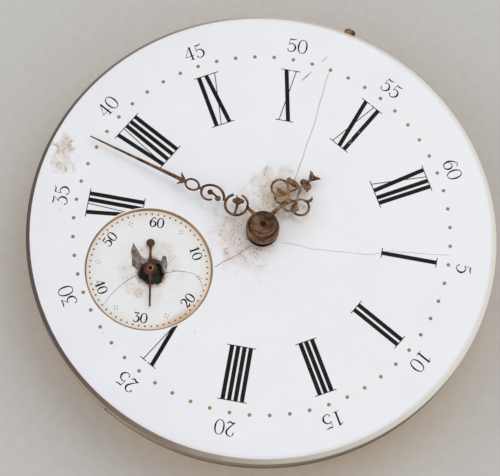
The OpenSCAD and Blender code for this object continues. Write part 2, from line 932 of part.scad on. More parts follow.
module fourth_pinion() {
    color(STEEL)
        at(F) {
            rod(pivot_r, jewel_sink + 0.05, bar_t);
            rod(arbor_r, bar_t - 0.2, plate_z - shake);
            rod(seconds_pivot_r, plate_z - shake, seconds_hand_z + 0.2);
            leaves(pinion_leaves, third_module, fourth_wheel_z + wheel_t + shake, plate_z - 2 * shake,
                   heading(F, T));
        }
}

module escape_wheel() {
    rim_out = escape_r - 0.55;
    rim_in = rim_out - 0.3;
    color(STEEL)
        at(E)
            difference() {
                rotate(lever_dir)
                    toothed(escape_points(escape_teeth, escape_r, escape_r - rim_out), escape_wheel_z,
                            escape_wheel_t);
                difference() {
                    rod(rim_in, escape_wheel_z - cut, escape_wheel_z + cut);
                    rod(0.7, escape_wheel_z - 2 * cut, escape_wheel_z + 2 * cut);
                    for (a = [0, 90])
                        rotate(a + 15)
                            translate([-rim_in - cut, -0.15, escape_wheel_z - 2 * cut])
                                cube([2 * rim_in + 2 * cut, 0.3, 4 * cut]);
                }
                rod(escape_seat_r + seat_gap, escape_wheel_z - cut, escape_wheel_z + cut);
            }
}

escape_seat_r = 0.3;

module escape_pinion() {
    color(STEEL)
        at(E) {
            rod(pivot_r, jewel_sink + 0.05, plate_z + jewel_t - 0.05);
            rod(escape_seat_r, bar_t - 0.2, plate_z - shake);
            leaves(escape_leaves, fourth_module, fourth_wheel_z - 0.2, fourth_wheel_z + wheel_t + 0.25, heading(E, F));
        }
}

// Lever escapement
pin_ring = 1;
lever_l = norm(A - P) - pin_ring + 0.25;
pin_r = 0.1;
notch_w = 2 * pin_r + 0.1;
stone_w = 0.26;
stone_l = 0.6;
stone_clear = 0.04;
function stone_place(side) = E + polar(escape_r + stone_clear, lever_dir + side * pallet_span / 2);

module pallet_fork() {
    color(STEEL)
        difference() {
            union() {
                strap(P, P + polar(lever_l - 0.6, lever_dir), 0.55, 0.22, lever_z, lever_z + lever_t);
                at(P + polar(lever_l - 0.6, lever_dir))
                    rotate(lever_dir)
                        translate([0, -0.45, lever_z])
                            cube([0.6, 0.9, lever_t]);
                for (side = [-1, 1])
                    strap(P, stone_place(side) + polar(stone_l, lever_dir + side * pallet_span / 2), 0.5, 0.4,
                          lever_z, lever_z + lever_t);
            }
            at(P + polar(lever_l - 0.45, lever_dir))
                rotate(lever_dir)
                    translate([0, -notch_w / 2, lever_z - cut])
                        cube([1, notch_w, lever_t + 2 * cut]);
            at(P)
                rod(arbor_r * 0.7 + seat_gap, lever_z - cut, lever_z + lever_t + cut);
            for (side = [-1, 1])
                stone_slot(side, seat_gap, cut);
        }
}

module stone_slot(side, gap, over) {
    at(stone_place(side))
        rotate(lever_dir + side * pallet_span / 2)
            translate([-gap, -stone_w / 2 - gap, lever_z - over])
                cube([stone_l + 2 * gap, stone_w + 2 * gap, lever_t + 2 * over]);
}

module pallet_stones() {
    color(RUBY)
        for (side = [-1, 1])
            stone_slot(side, 0, 0);
}

module pallet_arbor() {
    color(STEEL)
        at(P) {
            rod(pivot_r, pallet_cock_z + 0.05, plate_z + jewel_t - 0.05);
            rod(arbor_r * 0.7, pallet_cock_z + pallet_cock_t + 0.05, plate_z - shake / 2);
        }
}

// Balance
balance_screw_dirs = [for (i = [0 : 6], half = [0, 180]) half + 24 + i * 22];
balance_turn = lever_dir + 90;
hub_r = 0.95;
roller_r = 1.35;
roller_t = 0.2;

module balance_wheel() {
    color(BRASS)
        at(A)
            rotate(balance_turn)
                difference() {
                    union() {
                        difference() {
                            rod(rim_r, rim_z, rim_z + rim_h);
                            rod(rim_r - rim_w, rim_z - cut, rim_z + rim_h + cut);
                        }
                        translate([-rim_r + rim_w / 2, -0.5, arms_z])
                            cube([2 * rim_r - rim_w, 1, arms_t]);
                        rod(hub_r, arms_z, arms_z + arms_t);
                    }
                    rod(arbor_r + seat_gap, arms_z - cut, arms_z + arms_t + cut);
                    for (a = balance_screw_dirs)
                        rotate(a)
                            translate([0, 0, rim_z + rim_h / 2])
                                rotate([0, 90, 0])
                                    rod(0.16 + seat_gap, rim_r - rim_w - cut, rim_r + cut);
                }
}

module balance_screws() {
    color(GILT)
        at(A)
            rotate(balance_turn)
                for (a = balance_screw_dirs)
                    rotate(a)
                        translate([0, 0, rim_z + rim_h / 2])
                            rotate([0, 90, 0]) {
                                rod(0.16, rim_r - rim_w, rim_r);
                                rod(0.36, rim_r + 0.02, balance_r);
                                rod(0.16, rim_r, rim_r + 0.02);
                            }
}

module balance_staff() {
    color(STEEL)
        at(A) {
            rod(pivot_r, cock_arm_z + 0.03, plate_z + jewel_t - 0.05);
            rod(arbor_r, cock_arm_z + cock_arm_t + 0.05, arms_z + arms_t);
            rod(0.5, arms_z + arms_t, arms_z + arms_t + 0.3);
            rod(arbor_r * 0.8, arms_z + arms_t + 0.3, plate_z - shake);
        }
}

module roller() {
    color(STEEL)
        at(A)
            difference() {
                rod(roller_r, roller_z, roller_z + roller_t);
                rod(arbor_r * 0.8 + seat_gap, roller_z - cut, roller_z + roller_t + cut);
                at(polar(pin_ring, lever_dir + 180))
                    rod(pin_r + seat_gap, roller_z - cut, roller_z + roller_t + cut);
            }
}

module impulse_jewel() {
    color(RUBY)
        at(A + polar(pin_ring, lever_dir + 180))
            rod(pin_r, roller_z, lever_z + lever_t);
}

// Enamel dial with its sunk seconds dial
module dial() {
    r = dial_d / 2;
    foot_r = r + dial_flare;
    rings = 6;
    edge_z = seat_z + dial_edge_t;
    color(ENAMEL)
        difference() {
            rotate_extrude()
                polygon(concat([[0, seat_z], [foot_r - 0.1, seat_z], [foot_r, seat_z + 0.1],
                                [foot_r, seat_z + 0.22], [r, edge_z - 0.1], [r - 0.1, edge_z - 0.03],
                                [r - 0.3, edge_z]],
                               [for (i = [rings - 1 : -1 : 0])
                                   [(r - 0.3) * i / rings, edge_z + dial_dome * (1 - pow(i / rings, 2))]]));
            rod(dial_hole_r, seat_z - cut, dial_top_z + cut);
            at(F) {
                rod(seconds_d / 2 + 0.35 + seat_gap, seat_z - cut, seconds_top_z);
                translate([0, 0, seconds_top_z - 0.001])
                    cylinder(r1 = seconds_d / 2 - 0.1, r2 = seconds_d / 2 + 0.2, h = dial_top_z - seconds_top_z);
            }
        }
}

module seconds_dial() {
    color(ENAMEL)
        at(F)
            difference() {
                rod(seconds_d / 2 + 0.35, seconds_top_z - seconds_dial_t, seconds_top_z);
                rod(seconds_hole_r, seat_z - 2 * cut, seconds_top_z + cut);
            }
}

module dial_feet() {
    color(COPPER)
        for (a = dial_foot_dirs)
            at(polar(dial_foot_ring, a))
                rod(dial_foot_d / 2, plate_z + 0.1, seat_z);
}

module dial_foot_screws() {
    color(STEEL)
        for (a = dial_foot_dirs)
            foot_screw_place(a)
                difference() {
                    union() {
                        rod(foot_screw_r, foot_screw_in + 0.02, foot_screw_out - foot_screw_head_h);
                        rod(foot_screw_head_r, foot_screw_out - foot_screw_head_h - 0.05, foot_screw_out - 0.05);
                    }
                    translate([-0.07, -1, foot_screw_out - 0.2])
                        cube([0.14, 2, 1]);
                }
}

// Hands: pierced scrolls of thin bar round turned bosses
bar_w = 0.24;
hour_neck_r = hour_pipe_r + 0.2;
minute_neck_r = cannon_pipe_r + 0.2;

module hour_hand() {
    color(BRONZE)
        rotate(90 - hour_hand_at)
            translate([0, 0, hour_boss_z + hand_up]) {
                difference() {
                    union() {
                        rod(hour_boss_r - 0.1, 0, hand_t);
                        strap([1.1, 0.3], [2.85, 0.2], 0.24, 0.17, 0, hand_t);
                    }
                    rod(hour_neck_r + seat_gap, -cut, hand_t + cut);
                }
                arc_bar([3.4, 0.78], 0.52, 0, 360, bar_w, hand_t);
                arc_bar([4.05, 1.52], 0.72, -35, 300, bar_w, hand_t);
                arc_bar([4.95, 1.5], 0.45, 110, 200, bar_w - 0.04, hand_t);
                at([3.74, 1.39])
                    rod(0.3, 0, hand_t);
                arc_bar([3.3, -0.25], 0.5, 0, 360, bar_w, hand_t);
                arc_bar([3.95, -1.15], 0.72, -250, 310, bar_w, hand_t);
                arc_bar([4.95, -0.92], 0.45, -155, 130, bar_w - 0.04, hand_t);
                at([3.54, -0.98])
                    rod(0.3, 0, hand_t);
                strap([3.5, 1.15], [4.4, 0.58], 0.12, 0.11, 0, hand_t);
                strap([4.4, 0.58], [5.6, 0.12], 0.11, 0.12, 0, hand_t);
                strap([4.7, 1.1], [3.87, 0.29], 0.12, 0.11, 0, hand_t);
                strap([3.87, 0.29], [3.0, 0.1], 0.11, 0.12, 0, hand_t);
                strap([3.54, -0.98], [5.2, 0.08], 0.12, 0.11, 0, hand_t);
                strap([3.0, 0.12], [4.35, -0.5], 0.12, 0.11, 0, hand_t);
                at([5.62, -0.13])
                    rod(0.3, 0, hand_t);
                at([5.74, 0.24])
                    rod(0.33, 0, hand_t);
                needle([5.7, 0.1], [6.95, 0], 0.22, 0.16, hand_t);
                for (side = [-1, 1])
                    strap([6.85, side * 0.05], [7.2, side * 0.48], 0.15, 0.06, 0, hand_t);
                strap([6.9, 0], [7.35, -0.05], 0.16, 0.08, 0, hand_t);
            }
}

module hour_hand_boss() {
    color(BRONZE)
        difference() {
            rod(hour_boss_r, hour_boss_z, hour_boss_z + hour_boss_h);
            rod(hour_pipe_r + seat_gap, hour_boss_z - cut, hour_boss_z + 0.4 + seat_gap);
            rod(cannon_pipe_r + run_gap, hour_boss_z - cut, hour_boss_z + hour_boss_h + cut);
            translate([0, 0, hour_boss_z + hand_up - seat_gap])
                difference() {
                    rod(hour_boss_r + cut, 0, hand_t + 2 * seat_gap);
                    rod(hour_neck_r, -cut, 1);
                }
        }
}

module minute_hand() {
    color(BRONZE)
        rotate(90 - minute_hand_at)
            translate([0, 0, minute_boss_z + 0.3]) {
                difference() {
                    union() {
                        rod(minute_boss_r - 0.05, 0, hand_t);
                        rotate([0, minute_hand_droop, 0])
                            minute_blade();
                    }
                    rod(minute_neck_r + seat_gap, -1, 1);
                }
            }
}

// Scrolls, fleur and long pointer of the minute hand, along +X
module minute_blade() {
    strap([0.9, -0.4], [2.15, -0.7], 0.22, 0.17, 0, hand_t);
    arc_bar([3.15, -0.57], 1.04, -46, 318, bar_w, hand_t);
    at([3.2, -0.93])
        rod(0.4, 0, hand_t);
    strap([3.1, -0.9], [2.8, 0.4], 0.14, 0.12, 0, hand_t);
    arc_bar([5.6, 0.1], 1.33, -160, 142, bar_w, hand_t);
    arc_bar([5.95, -0.42], 0.75, -10, 150, bar_w, hand_t);
    strap([5.4, 0.1], [5.42, -0.3], 0.11, 0.11, 0, hand_t);
    at([5.87, -0.45])
        rod(0.27, 0, hand_t);
    strap([5.87, -0.45], [5.0, -0.27], 0.13, 0.27, 0, hand_t);
    strap([4.95, -0.28], [4.15, -0.3], 0.13, 0.12, 0, hand_t);
    arc_bar([7.72, -0.31], 0.6, 0, 360, bar_w, hand_t);
    strap([6.65, -0.4], [7.2, -0.33], 0.14, 0.13, 0, hand_t);
    strap([8.3, -0.28], [8.75, -0.26], 0.15, 0.25, 0, hand_t);
    for (side = [-1, 1])
        strap([8.7, -0.26 + side * 0.1], [9.05, -0.28 + side * 0.57], 0.16, 0.06, 0, hand_t);
    needle([8.7, -0.26], [minute_hand_l, 0.12], 0.19, 0.07, hand_t);
}

module minute_hand_boss() {
    color(BRONZE)
        difference() {
            rod(minute_boss_r, minute_boss_z, minute_boss_z + minute_boss_h);
            rod(cannon_pipe_r + seat_gap, minute_boss_z - cut, minute_boss_z + 0.5 + seat_gap);
            rod(set_r + seat_gap, minute_boss_z - cut, minute_boss_z + minute_boss_h - 0.35 + seat_gap);
            rod(0.25, minute_boss_z, minute_boss_z + minute_boss_h + cut);
            translate([0, 0, minute_boss_z + 0.15])
                difference() {
                    rod(minute_boss_r + cut, 0, hand_t + 0.3);
                    rod(minute_neck_r, -cut, 2);
                }
        }
}

module seconds_hand() {
    tail_l = 2.4;
    color(BRONZE)
        at(F)
            rotate(90 - seconds_hand_at)
                difference() {
                    union() {
                        rod(0.52, seconds_hand_z, seconds_hand_z + 0.3);
                        strap([0, 0], [seconds_hand_l, 0], 0.2, 0.06, seconds_hand_z, seconds_hand_z + 0.15);
                        strap([0, 0], [-tail_l, 0], 0.17, 0.12, seconds_hand_z, seconds_hand_z + 0.15);
                        at([-tail_l, 0])
                            rod(0.4, seconds_hand_z, seconds_hand_z + 0.15);
                    }
                    rod(seconds_pivot_r + seat_gap, seconds_hand_z - cut, seconds_hand_z + cut);
                }
}

echo(hairspring_least_gap_mm = ribbon_gap(hairspring_pts));
echo(mainspring_least_gap_mm = ribbon_gap(mainspring_pts));

main_plate();
barrel_bridge();
centre_bar();
third_bar();
fourth_bar();
escape_bar();
pallet_cock();
balance_cock();
regulator();
hairspring_stud();
cap_jewel();
jewels();
bar_screws();
case_screws();
case_pin();
banking_pins();
click();
click_screw();
click_spring();
click_spring_screw();
ratchet_wheel();
barrel_arbor();
barrel();
barrel_cover();
mainspring();
centre_wheel();
centre_pinion();
set_arbor();
cannon_pinion();
minute_wheel();
minute_pinion();
minute_wheel_stud();
hour_wheel();
third_wheel();
third_pinion();
fourth_wheel();
fourth_pinion();
escape_wheel();
escape_pinion();
pallet_fork();
pallet_stones();
pallet_arbor();
balance_wheel();
balance_screws();
balance_staff();
roller();
impulse_jewel();
hairspring_collet();
hairspring();
dial();
seconds_dial();
dial_feet();
dial_foot_screws();
hour_hand();
hour_hand_boss();
minute_hand();
minute_hand_boss();
seconds_hand();
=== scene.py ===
"""Pocket watch movement, dial up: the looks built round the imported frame."""

import json
import math
import random

import bpy
from mathutils import Matrix, Vector


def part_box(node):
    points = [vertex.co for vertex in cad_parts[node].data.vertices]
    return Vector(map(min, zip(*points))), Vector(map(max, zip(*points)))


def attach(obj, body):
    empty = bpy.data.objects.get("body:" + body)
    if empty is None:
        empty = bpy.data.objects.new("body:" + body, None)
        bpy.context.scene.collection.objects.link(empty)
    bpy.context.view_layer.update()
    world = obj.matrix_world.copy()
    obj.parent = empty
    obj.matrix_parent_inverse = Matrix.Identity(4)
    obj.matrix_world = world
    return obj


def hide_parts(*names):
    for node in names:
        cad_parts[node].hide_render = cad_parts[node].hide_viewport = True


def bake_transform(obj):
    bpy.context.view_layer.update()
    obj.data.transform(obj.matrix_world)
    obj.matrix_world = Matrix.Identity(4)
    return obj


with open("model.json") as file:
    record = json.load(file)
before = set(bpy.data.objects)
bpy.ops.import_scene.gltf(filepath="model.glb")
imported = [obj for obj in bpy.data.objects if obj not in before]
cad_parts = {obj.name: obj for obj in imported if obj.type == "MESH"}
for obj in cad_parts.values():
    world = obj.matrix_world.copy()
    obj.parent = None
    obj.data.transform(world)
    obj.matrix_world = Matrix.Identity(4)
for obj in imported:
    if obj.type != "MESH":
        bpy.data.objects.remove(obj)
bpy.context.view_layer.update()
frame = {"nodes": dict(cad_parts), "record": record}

# One millimetre in scene units
MM = 0.001

# Dial side, in millimetres, as in the part's source
DIAL_R = 21.5
DIAL_FOOT_R = 21.9
DIAL_SEAT_Z = 6.7
DIAL_EDGE_Z = 7.45
DIAL_DOME = 0.2
DOME_R = 21.2
DIAL_HOLE_R = 1.45
SECONDS_AT = (0.0, -11.0)
# The opening and its small dial sit a little off their arbor, as loose as the print is turned
OPENING_AT = (-0.09, -11.13)
SECONDS_R = 5.8
SECONDS_DISC_R = 6.15
SECONDS_Z = 7.35
SECONDS_T = 0.6
OIL_Z = 5.705
# The broken hole round the seconds arbor, its middle from the small dial's
HOLE_AT = (0.29, 0.21)
HOLE_MIDDLE = (OPENING_AT[0] + HOLE_AT[0], OPENING_AT[1] + HOLE_AT[1])
HOLE_R = 1.24
SECONDS_TURN = 299.0
MINUTE_HAND_AT = 229.8
HOUR_HAND_AT = 333.0
SECONDS_HAND_AT = 110.2
MINUTE_DROOP = 4.0
HOUR_BLADE_Z = 8.62
MINUTE_BLADE_Z = 9.51
SECONDS_BLADE_Z = 7.83
# The eyelet in the seconds hand stands this far above its blade
EYELET_LIFT = 0.24

# Print on the dial
NUMERAL_IN = 11.25
NUMERAL_OUT = 16.4
# Widths of the numerals' thick and hair strokes and of the serifs on each, and half a serif's height
BAR = 0.39
THIN = 0.07
BAR_SERIF = 0.94
THIN_SERIF = 0.72
SERIF_HALF = 0.035
DOT_RING = 17.52
DOT_R = 0.17
MINUTE_FIGURE_R = 18.32
MINUTE_FIGURE_SIDE = 0.15
MINUTE_FIGURE_H = 1.36
SECONDS_FIGURE_R = 4.2
SECONDS_FIGURE_H = 0.92
SECONDS_DOT_RING = 5.43
SECONDS_DOT_R = 0.09
# Between the seconds figures, four small dots set crosswise
FLOWER_RING = 4.72
FLOWER_DOT_R = 0.055
FLOWER = ((0.2, 0), (-0.2, 0), (0, 0.17), (0, -0.17))
INK_LIFT = 0.006

# The grain's height in metals, in metres
GRAIN_HEIGHT = 0.00002
# Direction on the dial towards the side whose sloped edge is painted dark brown as shade
SHADED_SIDE = (-0.344, -0.938, 0)
# The plate's tarnished rim, with painted shade towards its foot, begins at this radius
RIM_FROM = 21.7
# Jewels that reach below this height sit in the bars' outer faces
SETTING_BELOW = 0.5

random.seed(7)


# Colours and nodes


def linear(hex_code):
    """An sRGB hex colour as linear RGBA."""
    parts = [int(hex_code[i : i + 2], 16) / 255 for i in (1, 3, 5)]
    return [c / 12.92 if c <= 0.04045 else ((c + 0.055) / 1.055) ** 2.4 for c in parts] + [1.0]


def add(tree, kind, inputs=None, stops=(), **settings):
    """A node with its settings; an input is a value, an output, or a node for its first output."""
    made = tree.nodes.new("ShaderNode" + kind)
    for key, value in settings.items():
        setattr(made, key, value)
    for key, value in (inputs or {}).items():
        if isinstance(value, bpy.types.Node):
            value = value.outputs[0]
        if isinstance(value, bpy.types.NodeSocket):
            tree.links.new(value, made.inputs[key])
        else:
            made.inputs[key].default_value = value
    for i, (place, colour) in enumerate(stops):
        if i >= len(made.color_ramp.elements):
            made.color_ramp.elements.new(place)
        made.color_ramp.elements[i].position = place
        made.color_ramp.elements[i].color = linear(colour)
    return made


def feed(shader, socket, node):
    """Leads a node's first output into the shader."""
    shader.id_data.links.new(node.outputs[0], shader.inputs[socket])


def new_material(name, values):
    """A material whose shader has these values, with its node tree, shader and coordinates in millimetres."""
    material = bpy.data.materials.new(name)
    material.use_nodes = True
    tree = material.node_tree
    tree.nodes.clear()
    shader = add(tree, "BsdfPrincipled", values)
    add(tree, "OutputMaterial", {"Surface": shader})
    place = add(tree, "TexCoord").outputs["Object"]
    millimetres = add(tree, "Mapping", {"Vector": place, "Scale": (1000, 1000, 1000)}).outputs[0]
    return material, tree, shader, millimetres


def grained(tree, shader, mm, grain, depth, roughness, spread):
    """Gives a metal its grain, of a size in millimetres: a fine unevenness in its height and its roughness.

    The real grain, some hundredths of a millimetre, is too fine to show, so it is drawn coarser.
    """
    fine = add(tree, "TexNoise", {"Vector": mm, "Scale": 1 / grain, "Detail": 3.0})
    rough = add(tree, "MapRange", {0: fine, 1: 0.25, 2: 0.75, 3: roughness - spread, 4: roughness + spread})
    feed(shader, "Roughness", rough)
    bump = add(tree, "Bump", {"Height": fine, "Strength": depth, "Distance": GRAIN_HEIGHT})
    feed(shader, "Normal", bump)


def metal(name, bright, dull, patch, roughness, spread, grain, depth, metallic=1.0, edges=(0.35, 0.65)):
    """A metal with bright and dull patches and a grain, the patch and the grain in millimetres."""
    material, tree, shader, mm = new_material(name, {"Metallic": metallic})
    patches = add(tree, "TexNoise", {"Vector": mm, "Scale": 1 / patch, "Detail": 6.0, "Roughness": 0.62})
    tint = add(tree, "ValToRGB", {"Fac": patches}, stops=[(edges[0], bright), (edges[1], dull)])
    feed(shader, "Base Color", tint)
    grained(tree, shader, mm, grain, depth, roughness, spread)
    return material


def nearness(tree, mm, centre, inner, outer):
    """One inside the inner radius round a place, in millimetres, falling to nothing at the outer."""
    offset = add(tree, "VectorMath", {0: mm, 1: (-centre[0], -centre[1], 0)}, operation="ADD")
    flat = add(tree, "VectorMath", {0: offset, 1: (1, 1, 0)}, operation="MULTIPLY")
    away = add(tree, "VectorMath", {0: flat}, operation="LENGTH")
    return add(tree, "MapRange", {0: away.outputs["Value"], 1: inner, 2: outer, 3: 1.0, 4: 0.0})


def enamel(name, tints, dirt_and_shade, worn_edge=None, yellowed_side=None, rust=None, film=None):
    """White vitreous enamel, fired and glossy, with brown grime, partly painted shade, and specks round each
    place in dirt_and_shade.

    The rest is one dial's own: the height of its worn edge, painted darker on one side as shade, yellowing at
    one side, rust, a film of oil.
    """
    material, tree, shader, mm = new_material(name, {"IOR": 1.52})
    # Scales are per millimetre: clouds of some 5 mm, smears of 1.3 mm, specks set 0.24 and 1.2 mm apart
    clouds = add(tree, "TexNoise", {"Vector": mm, "Scale": 0.22, "Detail": 5.0, "Roughness": 0.6})
    ground = add(tree, "ValToRGB", {"Fac": clouds}, stops=[(0.3, tints[0]), (0.72, tints[1])])
    # Grime and painted shade have ragged borders: their places are shifted by up to a millimetre or so
    ragged = add(tree, "TexNoise", {"Vector": mm, "Scale": 0.8, "Detail": 5.0, "Roughness": 0.65})
    middled = add(tree, "VectorMath", {0: ragged.outputs["Color"], 1: (0.5, 0.5, 0.5)}, operation="SUBTRACT")
    shift = add(tree, "VectorMath", {0: middled, 1: (6.0, 6.0, 0.0), 2: mm}, operation="MULTIPLY_ADD")
    dirt_and_shade_near = None
    for centre, inner, outer, strength in dirt_and_shade:
        near = nearness(tree, shift, centre, inner, outer)
        near = add(tree, "Math", {0: near, 1: strength}, operation="MULTIPLY")
        if dirt_and_shade_near is not None:
            near = add(tree, "Math", {0: dirt_and_shade_near, 1: near}, operation="MAXIMUM")
        dirt_and_shade_near = near
    smear = add(tree, "TexNoise", {"Vector": mm, "Scale": 0.75, "Detail": 8.0, "Roughness": 0.7})
    grime_and_shade = add(tree, "Math", {0: dirt_and_shade_near, 1: smear}, operation="MULTIPLY")
    # Brown grime, and painted shade beside the hub and the hour hand
    grime_and_shade_amount = add(tree, "MapRange", {0: grime_and_shade, 1: 0.18, 2: 0.64, 3: 0.0, 4: 0.6})
    layers = [(grime_and_shade_amount, linear("#B48E58"))]
    # Grit: a crowd of fine specks where it is dirty, and a few larger ones anywhere
    fine = add(tree, "TexVoronoi", {"Vector": mm, "Scale": 4.2, "Randomness": 1.0})
    crowd = add(tree, "MapRange", {0: grime_and_shade, 1: 0.12, 2: 0.5, 3: 0.0, 4: 0.5})
    uneven = add(tree, "SeparateColor", {0: fine.outputs["Color"]})
    reach = add(tree, "Math", {0: crowd, 1: uneven}, operation="MULTIPLY")
    fine_speck = add(tree, "Math", {0: fine.outputs["Distance"], 1: reach}, operation="LESS_THAN")
    fine_share = add(tree, "Math", {0: fine_speck, 1: 0.5}, operation="MULTIPLY")
    layers.append((fine_share, linear("#6E5746")))
    grit = add(tree, "TexVoronoi", {"Vector": mm, "Scale": 0.8, "Randomness": 1.0})
    grit_size = add(tree, "TexNoise", {"Vector": mm, "Scale": 0.31, "Detail": 2.0})
    grit_edge = add(tree, "MapRange", {0: grit_size, 1: 0.42, 2: 0.8, 3: 0.0, 4: 0.1})
    speck = add(tree, "Math", {0: grit.outputs["Distance"], 1: grit_edge}, operation="LESS_THAN")
    speck_share = add(tree, "Math", {0: speck, 1: 0.42}, operation="MULTIPLY")
    layers.append((speck_share, linear("#806A58")))
    # Yellow towards one side of the opening's rim, and faintly all round near it
    if yellowed_side:
        centre, towards, edge = yellowed_side
        offset = add(tree, "VectorMath", {0: mm, 1: (-centre[0], -centre[1], 0)}, operation="ADD")
        along = add(tree, "VectorMath", {0: offset, 1: (*towards, 0)}, operation="DOT_PRODUCT")
        yellowing = add(tree, "MapRange", {0: along.outputs["Value"], 1: edge - 0.9, 2: edge, 3: 0.0, 4: 0.85})
        middle = nearness(tree, mm, centre, edge - 1.0, edge)
        halo = add(tree, "MapRange", {0: middle, 1: 1.0, 2: 0.0, 3: 0.0, 4: 0.3})
        layers.append((halo, linear("#D9BC90")))
        layers.append((yellowing, linear("#C6994C")))
    if film:
        # A thin yellow film of old oil
        near = nearness(tree, mm, *film)
        film_share = add(tree, "Math", {0: near, 1: 0.2}, operation="MULTIPLY")
        layers.append((film_share, linear("#CDAA6C")))
    if rust:
        round_hole = nearness(tree, mm, *rust)
        eaten = add(tree, "Math", {0: round_hole, 1: smear}, operation="MULTIPLY")
        rust_share = add(tree, "MapRange", {0: eaten, 1: 0.24, 2: 0.5, 3: 0.0, 4: 0.85})
        layers.append((rust_share, linear("#74472A")))
    if worn_edge:
        height = add(tree, "SeparateXYZ", {0: mm}).outputs["Z"]
        chipped = add(tree, "Math", {0: smear, 1: 0.08, 2: height}, operation="MULTIPLY_ADD")
        bare = add(tree, "MapRange", {0: chipped, 1: worn_edge, 2: worn_edge - 0.06, 3: 0.0, 4: 1.0})
        # Cream on the lit side of the dial, darkening to a dark brown on the other: painted shade
        across = add(tree, "VectorMath", {0: mm, 1: SHADED_SIDE}, operation="DOT_PRODUCT").outputs["Value"]
        toward_shade = add(tree, "Math", {0: smear, 1: 7.0, 2: across}, operation="MULTIPLY_ADD")
        side = add(tree, "MapRange", {0: toward_shade, 1: -18.0, 2: 25.0, 3: 0.0, 4: 1.0})
        lit_to_shaded = [(0.12, "#F0EADC"), (0.48, "#C8BAA9"), (0.72, "#887462"), (0.95, "#4F3F36")]
        edge_and_shade_tint = add(tree, "ValToRGB", {"Fac": side}, stops=lit_to_shaded)
        layers.append((bare, edge_and_shade_tint))
    colour = ground
    for share, tint in layers:
        laid = add(tree, "Mix", {0: share, 6: colour, 7: tint}, data_type="RGBA")
        colour = laid.outputs[2]
    tree.links.new(colour, shader.inputs["Base Color"])
    worn = add(tree, "MapRange", {0: smear, 1: 0.3, 2: 0.8, 3: 0.16, 4: 0.38})
    feed(shader, "Roughness", worn)
    ripple = add(tree, "TexNoise", {"Vector": mm, "Scale": 0.9, "Detail": 2.0})
    bump = add(tree, "Bump", {"Height": ripple, "Strength": 0.05, "Distance": 0.0001})
    feed(shader, "Normal", bump)
    return material


def edge_brass(name):
    """Turned brass whose outer rim is tarnished brown under the dial, and painted darker towards its foot as
    shade.
    """
    material, tree, shader, mm = new_material(name, {})
    patches = add(tree, "TexNoise", {"Vector": mm, "Scale": 0.3, "Detail": 6.0, "Roughness": 0.62})
    gilt = add(tree, "ValToRGB", {"Fac": patches}, stops=[(0.3, "#D6B26B"), (0.72, "#B8924F")])
    height = add(tree, "SeparateXYZ", {0: mm}).outputs["Z"]
    waver = add(tree, "Math", {0: patches, 1: 0.6, 2: height}, operation="MULTIPLY_ADD")
    # Darker towards the foot: painted shade
    band = add(tree, "MapRange", {0: waver, 1: 5.2, 2: 5.9, 3: 0.0, 4: 1.0})
    tarnish_and_shade = add(tree, "ValToRGB", {"Fac": band}, stops=[(0.0, "#47392F"), (0.5, "#5E4E41"), (1.0, "#7D6B59")])
    inside = nearness(tree, mm, (0, 0), RIM_FROM - 0.1, RIM_FROM)
    colour = add(tree, "Mix", {0: inside, 6: tarnish_and_shade, 7: gilt}, data_type="RGBA")
    tree.links.new(colour.outputs[2], shader.inputs["Base Color"])
    grained(tree, shader, mm, 1 / 7, 0.2, 0.43, 0.09)
    shine = add(tree, "MapRange", {0: inside, 1: 0.0, 2: 1.0, 3: 0.15, 4: 1.0})
    feed(shader, "Metallic", shine)
    return material


def painted(name, light, dark, patch, roughness, metallic=0.0, gloss=0.5, rubbed=None):
    """Ink or paint laid on the enamel, thin in places so the tone varies, and rubbed through in a few."""
    values = {"Roughness": roughness, "Metallic": metallic, "Specular IOR Level": gloss}
    material, tree, shader, mm = new_material(name, values)
    thin = add(tree, "TexNoise", {"Vector": mm, "Scale": 1 / patch, "Detail": 4.0})
    stops = [(0.38, dark), (0.68, light)]
    if rubbed:
        stops += [(0.7, light), (0.74, rubbed)]
    tint = add(tree, "ValToRGB", {"Fac": thin}, stops=stops)
    feed(shader, "Base Color", tint)
    bump = add(tree, "Bump", {"Height": thin, "Strength": 0.1, "Distance": 0.00001})
    feed(shader, "Normal", bump)
    return material


# Where the dial's grime lies: beside the hub, under the hour hand and at a rubbed place by the rim; beside the
# hub and the hour hand the brown is also painted shade
DIAL_DIRT_AND_SHADE = [
    ((-0.9, -1.6), 1.2, 5.6, 0.93),
    ((0.8, -1.6), 1.0, 4.6, 0.95),
    ((-3.0, 2.7), 0.9, 3.8, 1.3),
    ((-14.5, -14.1), 0.1, 1.4, 1.0),
    ((-13.8, -14.8), 0.2, 1.5, 1.3),
    ((-12.5, -15.0), 0.1, 1.6, 1.05),
]
# The sloped edge below the white is unglazed, cream on one side and painted dark brown towards the other as
# shade
ENAMEL = enamel(
    "vitreous_enamel_dial",
    ("#EDEDEF", "#F1F1F3"),
    DIAL_DIRT_AND_SHADE,
    worn_edge=7.38,
    film=((-1.7, 2.6), 1.0, 4.8),
)
SECONDS_DIRT = [(SECONDS_AT, 0.8, 4.4, 1.0)]
SECONDS_ENAMEL = enamel(
    "vitreous_enamel_seconds",
    ("#E8E7E5", "#EDECEB"),
    SECONDS_DIRT,
    yellowed_side=(OPENING_AT, (0.972, 0.235), SECONDS_R - 0.1),
    rust=(HOLE_MIDDLE, HOLE_R, HOLE_R + 0.75),
)
# Black vitrifiable paint, fired into the enamel: almost as glossy, brown where it is thin
INK = painted("fired_black_paint", "#1C1716", "#0C0A0A", 0.8, 0.4, gloss=0.12, rubbed="#8D857C")
# Fired gold paint of the dots, rubbed matt
DOT_GOLD = painted("fired_gold_paint", "#9B8342", "#8E7042", 9.0, 0.42, 0.15)
# Brown paint of the seconds dial's dots, thin in places
DOT_BROWN = painted("fired_brown_paint", "#8F735C", "#66503F", 0.7, 0.5)
